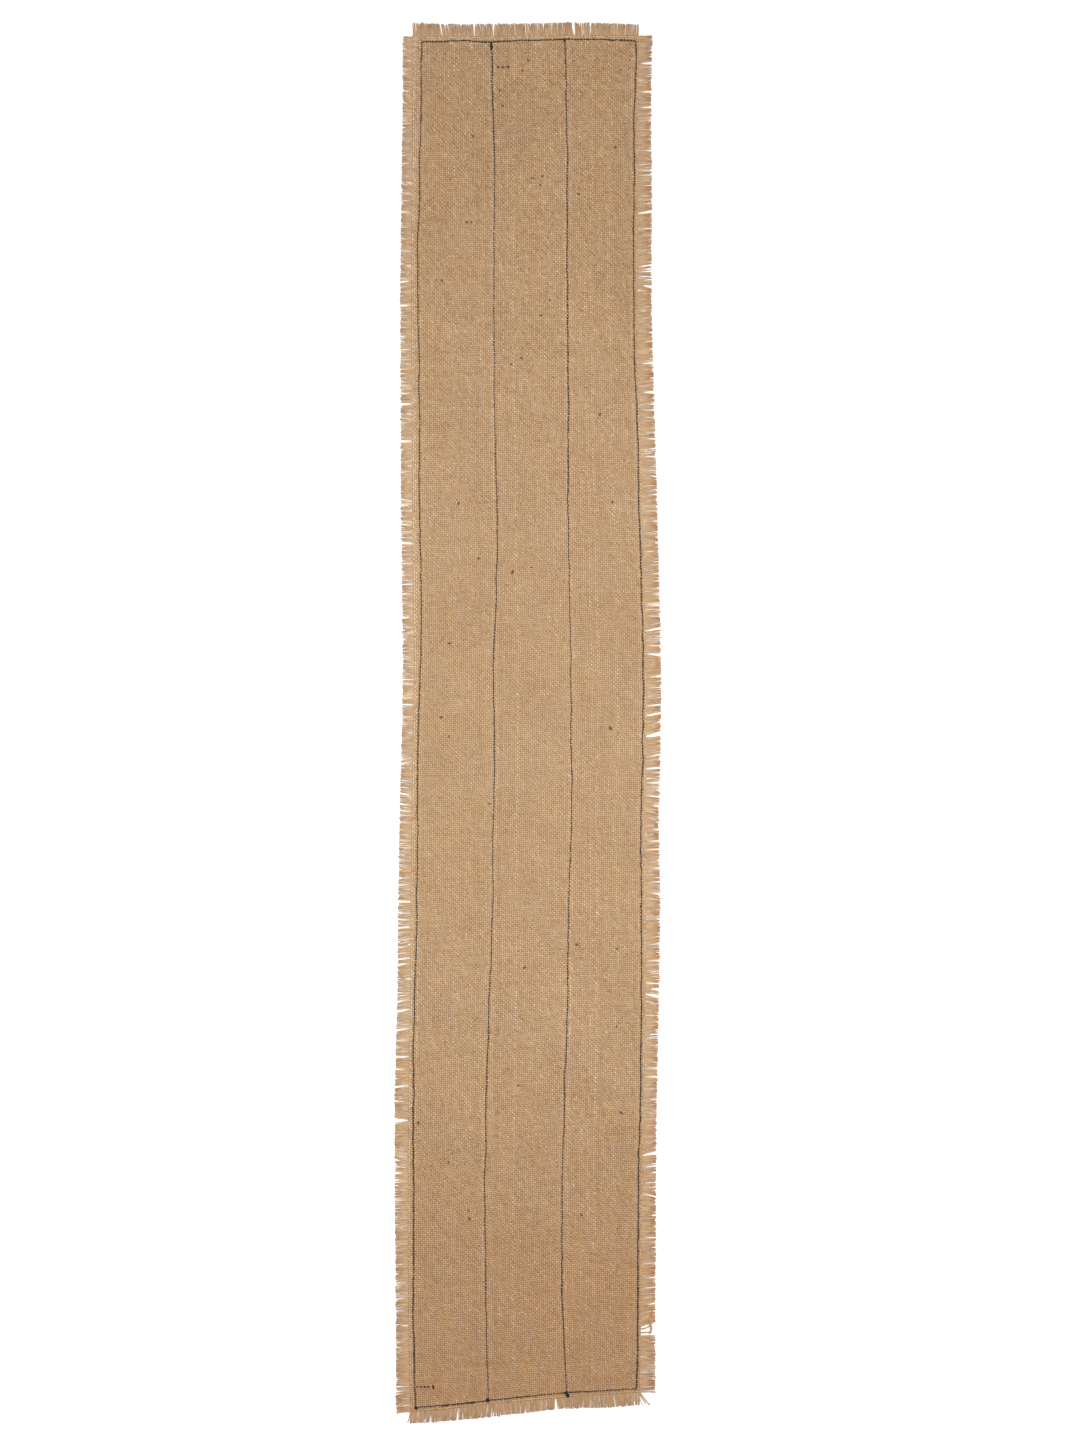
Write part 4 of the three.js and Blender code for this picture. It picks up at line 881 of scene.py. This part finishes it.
def inner_left_weight(x, y):
    return np.interp(y, [-870, -650, -440, -200, 0, 290, 440, 700, 780, 880], [0.84, 0.86, 1.1, 0.9, 1.12, 1.0, 0.78, 0.76, 1.2, 1.3])


def inner_right_weight(x, y):
    return np.interp(y, [-870, -720, -580, -440, -290, 0, 150, 290, 880], [0.92, 1.12, 0.82, 1.1, 0.86, 0.95, 0.7, 1.0, 0.95])


# a few extra stitches at the start of the run and at the blob in the overlap
blob = [(-104.4, float(S_FOOT(-104.4)) + UP + 0.5), (-110.6, float(S_FOOT(-110.6)) + UP - 0.5)]
blob_low = [(-104.8, float(S_FOOT(-104.8)) + UP - 0.7), (-109.6, float(S_FOOT(-109.6)) + UP - 1.1)]
start_knot = [(-69.2, float(S_FOOT(-69.2)) + UP), (-75.4, float(S_FOOT(-75.4)) + UP - 0.2)]
perimeter = [
    start_run,
    lengthwise(S_LEFT, bl[1] - 0.2, tl[1]),
    [(x, y - 0.2) for x, y in crosswise(S_HEAD, tl[0], tr[0])],
    lengthwise(S_RIGHT, tr[1], br[1]),
    end_run,
    blob,
    blob[::-1],
    blob_low,
    start_knot,
    start_knot[::-1],
]
inner_left = [lengthwise(S_IL, 876.0, -883.6)]
inner_right = [lengthwise(S_IR, 891.4, -873.4)]
P_PITCH, P_WIDTH = 4.05, 1.72
seam("perimeter_face_stitches", perimeter, "perimeter_seam_needle_thread", P_PITCH, P_WIDTH, 101, sinks={0: buried}, heavy=perimeter_weight)
seam("perimeter_back_stitches", perimeter[:5], "perimeter_seam_bobbin_thread", P_PITCH, 0.95, 102, False)
seam("inner_left_face_stitches", inner_left, "inner_left_seam_needle_thread", 4.05, 1.62, 103, loose=-0.02, tone=0.40, gap=0.16, heavy=lambda x, y: inner_left_weight(x, y) * np.interp(y, [-880, -620, -520], [1.16, 1.1, 1.0]))
seam("inner_left_back_stitches", inner_left, "inner_left_seam_bobbin_thread", 4.05, 0.9, 104, False)
seam("inner_right_face_stitches", inner_right, "inner_right_seam_needle_thread", 4.05, 1.74, 105, loose=0.0, tone=0.36, gap=0.14, heavy=inner_right_weight)
seam("inner_right_back_stitches", inner_right, "inner_right_seam_bobbin_thread", 4.05, 0.9, 106, False)


def tack_row(name, node, spots, width, seed, face=True):
    """A short row of separate stitches: each (x0, y0, x1, y1)."""
    rng = np.random.default_rng(seed)
    M = 8
    t = np.linspace(0, 1, M)
    C, W, T = [], [], []
    for x0, y0, x1, y1, w in spots:
        x, y = x0 + (x1 - x0) * t, y0 + (y1 - y0) * t
        arch = np.sin(math.pi * t) ** 0.45
        z = ripple(x, y) + (1 if face else -1) * ((0.62 if face else 0.80) * arch - 0.2 * (1 - arch))
        if not face:
            z = np.maximum(z, 0.46)
        C.append(np.stack([x, y + rng.normal(0, 0.05), z], -1) if np.ndim(y) == 0 else np.stack([x, y, z], -1))
        W.append(w * width * (0.75 + 0.25 * np.sin(math.pi * t)))
        T.append(np.stack([np.full(M, 0.3) + rng.normal(0, 0.05), 0 * t, 0 * t], -1))
    C, W, T = np.array(C), np.array(W), np.array(T)
    ob = tubes(name, C, W, W * 0.85, K=6, tone=T, seg=1)
    show(ob, THREAD, [node])


hx, hy = -40.2, 856.5
head_tacks = [(hx, hy, hx + 2.0, hy + 0.1, 1.15), (hx + 3.7, hy + 0.3, hx + 4.9, hy + 0.1, 0.6), (hx + 6.0, hy - 0.2, hx + 7.9, hy, 0.95), (hx + 9.9, hy + 0.2, hx + 11.0, hy, 0.6), (hx + 12.8, hy + 0.2, hx + 15.0, hy + 0.5, 1.2)]
tack_row("head_tack_face_stitches", "head_tack_row_needle_thread", head_tacks, 2.3, 21)
tack_row("head_tack_back_stitches", "head_tack_row_bobbin_thread", [(hx + 1.8 + 3.3 * i, hy, hx + 4.2 + 3.3 * i, hy + 0.1, 0.9) for i in range(4)], 1.0, 22, False)
fx, fy = -146.0, -866.2
foot_tacks = [(fx + 0.2, fy, fx + 2.4, fy - 0.2, 1.0), (fx + 5.0, fy + 0.2, fx + 7.2, fy, 1.0), (fx + 9.8, fy, fx + 12.2, fy - 0.1, 1.1), (fx + 14.6, fy + 0.1, fx + 16.8, fy, 1.0), (fx + 21.2, fy + 2.4, fx + 21.6, fy - 1.0, 0.95), (fx + 22.1, fy + 1.6, fx + 22.3, fy - 3.0, 0.95)]
tack_row("foot_tack_face_stitches", "foot_tack_row_needle_thread", foot_tacks, 2.5, 23)
tack_row("foot_tack_back_stitches", "foot_tack_row_bobbin_thread", [(fx + 2.4 + 4.7 * i, fy, fx + 5.0 + 4.7 * i, fy, 0.9) for i in range(4)], 1.0, 24, False)


def backtack(name, node, a, b, across, n, seed, width=1.75, top=0.9, dark=0.1):
    """Stitches sewn to and fro over each other between a and b."""
    rng = np.random.default_rng(seed)
    a, b = np.array(a, float), np.array(b, float)
    d = b - a
    ln = np.linalg.norm(d)
    d /= ln
    nrm = np.array([-d[1], d[0]])
    M = 9
    t = np.linspace(0, 1, M)
    C, W, T = [], [], []
    for i in range(n):
        l = min(ln, rng.uniform(2.6, 4.2))
        s0 = rng.uniform(0, max(0.01, ln - l)) if n > 3 else 0
        o0, o1 = rng.normal(0, across, 2)
        p = a + d * (s0 + l * t[:, None]) + nrm * (o0 + (o1 - o0) * t[:, None])
        arch = np.sin(math.pi * t) ** 0.5
        z = ripple(p[:, 0], p[:, 1]) + (top + 0.11 * i * 6 / n) * arch - 0.1 * (1 - arch)
        C.append(np.stack([p[:, 0], p[:, 1], z], -1))
        W.append(width * (0.7 + 0.3 * np.sin(math.pi * t)))
        T.append(np.stack([np.full(M, 0.12 - dark) + rng.normal(0, 0.05), 0 * t, 0 * t], -1))
    C, W, T = np.array(C), np.array(W), np.array(T)
    ob = tubes(name, C, W, W * 0.85, K=8, tone=T, seg=1)
    show(ob, THREAD, [node])


backtack("backtack_bar_head_inner_left", "backtack_head_inner_left", (-48.6, 889.6), (-48.0, 878.0), 0.65, 26, 31, width=1.9)
backtack("backtack_lump_head_inner_right", "backtack_head_inner_right", (47.0, 893.8), (48.0, 889.8), 0.6, 10, 32)
backtack("backtack_lump_foot_inner_left", "backtack_foot_inner_left", (-53.1, -881.6), (-52.7, -886.0), 0.95, 18, 33, width=2.2, dark=0.2)
backtack("backtack_bar_foot_inner_right", "backtack_foot_inner_right", (49.4, -872.0), (51.9, -880.2), 0.95, 30, 34, width=2.2, dark=0.25)
backtack("backtack_lump_foot_left_corner", "backtack_foot_left_corner", (-148.0, -893.2), (-144.6, -894.6), 0.9, 16, 35, width=2.1, dark=0.2)


# ------------------------------------------------------------------ bark, lint and a red slub
# Bits caught in the weave: place and strength of the ones that show from above, dark bark
# first, then pale lint.
BARK = [
    (-20.6, 196.9, 42), (107.3, -6.9, 39), (65.6, 690.5, 36), (-76.8, -646.8, 35), (-5.0, -319.0, 32), (121.7, -508.3, 32),
    (-143.4, -521.4, 29), (-102.9, 104.2, 28), (-91.2, 287.0, 27), (-113.4, 7.5, 27), (93.0, 403.2, 26), (-8.9, 476.3, 25),
    (-80.7, 654.0, 25), (110.0, 288.3, 24), (-104.2, -573.6, 24), (113.9, 751.9, 23), (-21.9, 468.5, 23), (-33.7, 805.5, 22),
    (62.9, -288.9, 22), (-12.8, -473.1, 22), (-50.7, -104.8, 22), (15.9, 532.5, 22), (-72.9, 766.3, 22), (-65.0, 215.2, 21),
    (116.5, -294.2, 21), (5.5, 711.4, 20), (115.2, -396.0, 20), (69.5, -641.6, 20), (-112.1, 578.2, 20), (-102.9, -17.3, 20),
    (-37.3, 825.5, 21), (-7.9, 851.5, 21), (0.3, 865.6, 21), (-78.1, -636.3, 19), (-74.2, 654.0, 19), (4.2, 203.4, 18), (15.9, 702.3, 18), (27.7, 552.1, 18), (18.5, 714.0, 18),
]
LINT = [(12.0, -127.0, 30), (-58.5, 528.6, 24), (-37.6, 392.8, 20), (-61.1, -602.4, 20), (51.2, -527.9, 18), (30.3, -385.6, 19), (56.4, 181.0, 22)]


def bits(name, places, seed, material, tone_at, scale, red=0.0):
    rng = np.random.default_rng(seed)
    M = 6
    t = np.linspace(0, 1, M)
    C, W, T = [], [], []
    for px, py, strength in places:
        long, wide = scale * (0.9 + strength * 0.055), scale * (0.45 + strength * 0.034)
        a = rng.uniform(0, math.pi)
        bend = rng.normal(0, 0.3)
        off = (t - 0.5) * long
        x = px + off * math.cos(a) - bend * np.sin(math.pi * t) * math.sin(a)
        y = py + off * math.sin(a) + bend * np.sin(math.pi * t) * math.cos(a)
        C.append(np.stack([x, y, ripple(x, y) + 0.62 + 0.08 * np.sin(math.pi * t)], -1))
        W.append(wide * (0.25 + 0.75 * np.sin(math.pi * (0.08 + 0.84 * t)) ** 0.7) * (1 + rng.normal(0, 0.12, M)))
        c = np.zeros((M, 3))
        c[:, 0] = tone_at + rng.normal(0, 0.06)
        c[:, 1] = red
        T.append(c)
    C, W, T = np.array(C), np.array(W), np.array(T)
    ob = tubes(name, C, W, W * 0.38, K=6, tone=T, seg=1)
    show(ob, material)


def bark_material():
    m, nt, bsdf = nodes_of("jute_bark")
    geo = nt.nodes.new("ShaderNodeTexCoord")
    fine = add(nt, "ShaderNodeTexNoise", Scale=1500.0, Detail=3.0, Roughness=0.6)
    nt.links.new(geo.outputs["Object"], fine.inputs["Vector"])
    r = ramp(nt, [(0.25, (0.060, 0.028, 0.012)), (0.55, (0.105, 0.052, 0.024)), (0.8, (0.170, 0.090, 0.042))])
    nt.links.new(fine.outputs[0], r.inputs[0])
    nt.links.new(r.outputs[0], bsdf.inputs["Base Color"])
    rough = add(nt, "ShaderNodeMapRange")
    nt.links.new(fine.outputs[0], rough.inputs[0])
    rough.inputs["To Min"].default_value = 0.6
    rough.inputs["To Max"].default_value = 0.9
    nt.links.new(rough.outputs[0], bsdf.inputs["Roughness"])
    bump = add(nt, "ShaderNodeBump", Strength=0.6, Distance=0.0002)
    nt.links.new(fine.outputs[0], bump.inputs["Height"])
    nt.links.new(bump.outputs[0], bsdf.inputs["Normal"])
    return m


bits("bark_specks", BARK, 61, bark_material(), 0.2, 1.8)
bits("pale_lint", LINT, 62, WEFT_JUTE, 1.25, 0.9)


# ------------------------------------------------------------------ loose yarns
def loose(name, nodes, runs, seed, material=None):
    """Loose yarns, each a few plies twisted round each other: (points, width, plies,
    redness, height). They lie on the table and taper to the cut end."""
    rng = np.random.default_rng(seed)
    M = 22
    C, W, T = [], [], []
    for points, width, plies, red, high in runs:
        p = np.array(points, float)
        d = np.concatenate([[0], np.cumsum(np.linalg.norm(np.diff(p, axis=0), axis=1))])
        s = np.linspace(0, d[-1], M)
        x = np.interp(s, d, p[:, 0])
        y = np.interp(s, d, p[:, 1])
        for _ in range(3):
            x[1:-1] = (x[:-2] + 2 * x[1:-1] + x[2:]) / 4
            y[1:-1] = (y[:-2] + 2 * y[1:-1] + y[2:]) / 4
        t = s / d[-1]
        tx, ty = np.gradient(x), np.gradient(y)
        ln = np.hypot(tx, ty) + 1e-9
        for i in range(plies):
            ph = 2 * math.pi * i / plies + rng.uniform(-0.3, 0.3)
            turn = np.sin(s * 0.75 + ph) * width * 0.27 * (1 - 0.55 * t**3)
            fray = (i - (plies - 1) / 2) * width * 0.16 * t**4
            z = 0.35 + 0.3 * width + 0.2 * width * np.cos(s * 0.75 + ph) + high * np.sin(math.pi * t) + 0.05 * i
            C.append(np.stack([x - ty / ln * (turn + fray), y + tx / ln * (turn + fray), z], -1))
            W.append(width * 0.55 * (1 - 0.5 * t**3) * (1 + rng.normal(0, 0.07)))
            c = np.zeros((M, 3))
            c[:, 0] = 0.50 + rng.normal(0, 0.06)
            c[:, 1] = red + 0.15 * t**3
            c[:, 2] = 0.2 * red + 0.2 * t**5
            T.append(c)
    C, W, T = np.array(C), np.array(W), np.array(T)
    ob = tubes(name, C, W, W * 0.85, K=8, tone=T, seg=1)
    show(ob, material or FRINGE_Y, nodes)


loose("stray_yarn_foot_right_long", ["loose_yarn_foot_right_long"], [([(145.0, -872.8), (148.2, -877.2), (151.8, -882.4), (155.4, -886.6), (158.8, -890.0)], 2.1, 4, 0.35, 0.5)], 41)
loose("stray_yarn_foot_right_middle", ["loose_yarn_foot_right_middle"], [([(144.6, -874.0), (147.4, -880.2), (150.4, -884.8), (154.8, -889.9)], 1.2, 3, 0.15, 0.3)], 42)
loose("stray_yarn_foot_right_short", ["loose_yarn_foot_right_short"], [([(144.0, -878.0), (146.6, -885.0), (149.2, -890.4)], 1.1, 3, 0.1, 0.2)], 43)
loose("stray_yarn_foot_left", ["loose_yarn_foot_left"], [([(-153.2, -896.4), (-154.6, -904.0), (-156.0, -910.0), (-158.0, -913.6)], 1.5, 3, 0.3, 0.3)], 44)
loose(
    "curled_tuft_right",
    ["curled_yarn_right"],
    [
        ([(160.5, -770.4), (163.4, -772.4), (163.9, -775.6), (162.4, -778.6), (160.2, -781.2), (159.4, -784.6), (160.0, -788.0), (161.1, -791.4), (159.8, -794.6), (157.6, -796.0)], 3.3, 6, 0.9, 0.9),
        ([(152.0, -780.6), (156.4, -779.0), (159.6, -779.4), (160.3, -782.2), (159.8, -785.6)], 1.9, 3, 0.8, 0.7),
        ([(145.2, -789.8), (148.6, -790.4), (151.8, -790.2), (154.6, -788.8), (158.6, -786.8)], 2.1, 4, 0.35, 0.4),
        ([(145.2, -795.3), (149.2, -795.4), (153.5, -795.2), (158.4, -795.3)], 2.4, 4, 0.25, 0.2),
    ],
    45,
    FRINGE_X,
)

def slub(name, points, width, red, tone_at, seed):
    """A thick reddish fibre woven in on top."""
    rng = np.random.default_rng(seed)
    p = np.array(points, float)
    M = 12
    t = np.linspace(0, 1, M)
    s = np.linspace(0, len(p) - 1, M)
    x, y = np.interp(s, range(len(p)), p[:, 0]), np.interp(s, range(len(p)), p[:, 1])
    C, W, T = [], [], []
    for i in range(3):
        off = (i - 1) * width * 0.3
        C.append(np.stack([x + 0.2 * off, y + off + 0.15 * np.sin(6 * t + i), ripple(x, y) + 0.58 + 0.1 * np.sin(9 * t + i)], -1))
        W.append(width * 0.5 * (0.25 + np.sin(math.pi * t ** 0.75) ** 0.5) * (1.12 - 0.5 * t) * (1 + rng.normal(0, 0.08, M)))
        c = np.zeros((M, 3))
        c[:, 0], c[:, 1] = tone_at, red
        T.append(c)
    C, W, T = np.array(C), np.array(W), np.array(T)
    show(tubes(name, C, W, W * 0.5, K=6, tone=T, seg=1), RED_JUTE)


slub("red_slub", [(-133.0, 681.6), (-129.4, 682.6), (-125.4, 684.0), (-123.9, 686.0), (-121.9, 688.6)], 2.5, 1.0, 0.2, 71)


# ------------------------------------------------------------------ floor, light, camera
def plane(name, size, z):
    me = bpy.data.meshes.new(name)
    h = size / 2
    me.from_pydata([(-h, -h, z), (h, -h, z), (h, h, z), (-h, h, z)], [], [(0, 1, 2, 3)])
    ob = bpy.data.objects.new(name, me)
    collection.objects.link(ob)
    return ob


floor = plane("floor", 200, 0.0)
m, nt, bsdf = nodes_of("pale_floor")
bsdf.inputs["Base Color"].default_value = (0.94, 0.94, 0.94, 1)
bsdf.inputs["Roughness"].default_value = 0.9
bsdf.inputs["Specular IOR Level"].default_value = 0.1
floor.data.materials.append(m)

world = bpy.data.worlds.new("studio")
bpy.context.scene.world = world
world.use_nodes = True
world.node_tree.nodes["Background"].inputs[0].default_value = (1, 1, 1, 1)
world.node_tree.nodes["Background"].inputs[1].default_value = 0.36


def area(name, at, target, size, power):
    l = bpy.data.lights.new(name, "AREA")
    l.shape = "DISK"
    l.size = size
    l.energy = power
    o = bpy.data.objects.new(name, l)
    o.location = at
    o.rotation_euler = (Vector(target) - Vector(at)).to_track_quat("-Z", "Y").to_euler()
    collection.objects.link(o)
    return o


area("soft_overhead", (0.02, 0.0, 2.0), (0.02, 0, 0), 1.0, 44)
sun = bpy.data.lights.new("soft_sun", "SUN")
sun.energy = 0.95
sun.angle = math.radians(34)
sun_o = bpy.data.objects.new("soft_sun", sun)
sun_o.rotation_euler = Vector((1.0, 1.0, 1.15)).to_track_quat("Z", "Y").to_euler()
collection.objects.link(sun_o)

cam = bpy.data.cameras.new("camera")
camera = bpy.data.objects.new("camera", cam)
collection.objects.link(camera)
HIGH = 4.0
cam.sensor_fit = "AUTO"
cam.sensor_width = 36
cam.lens = 36 * HIGH / 1.8806
cam.clip_end = 100
camera.location = (0.0153, 0.0042, HIGH)
camera.rotation_euler = (0, 0, 0)
bpy.context.scene.camera = camera
bpy.context.scene.view_settings.view_transform = "Standard"
bpy.context.scene.view_settings.look = "None"
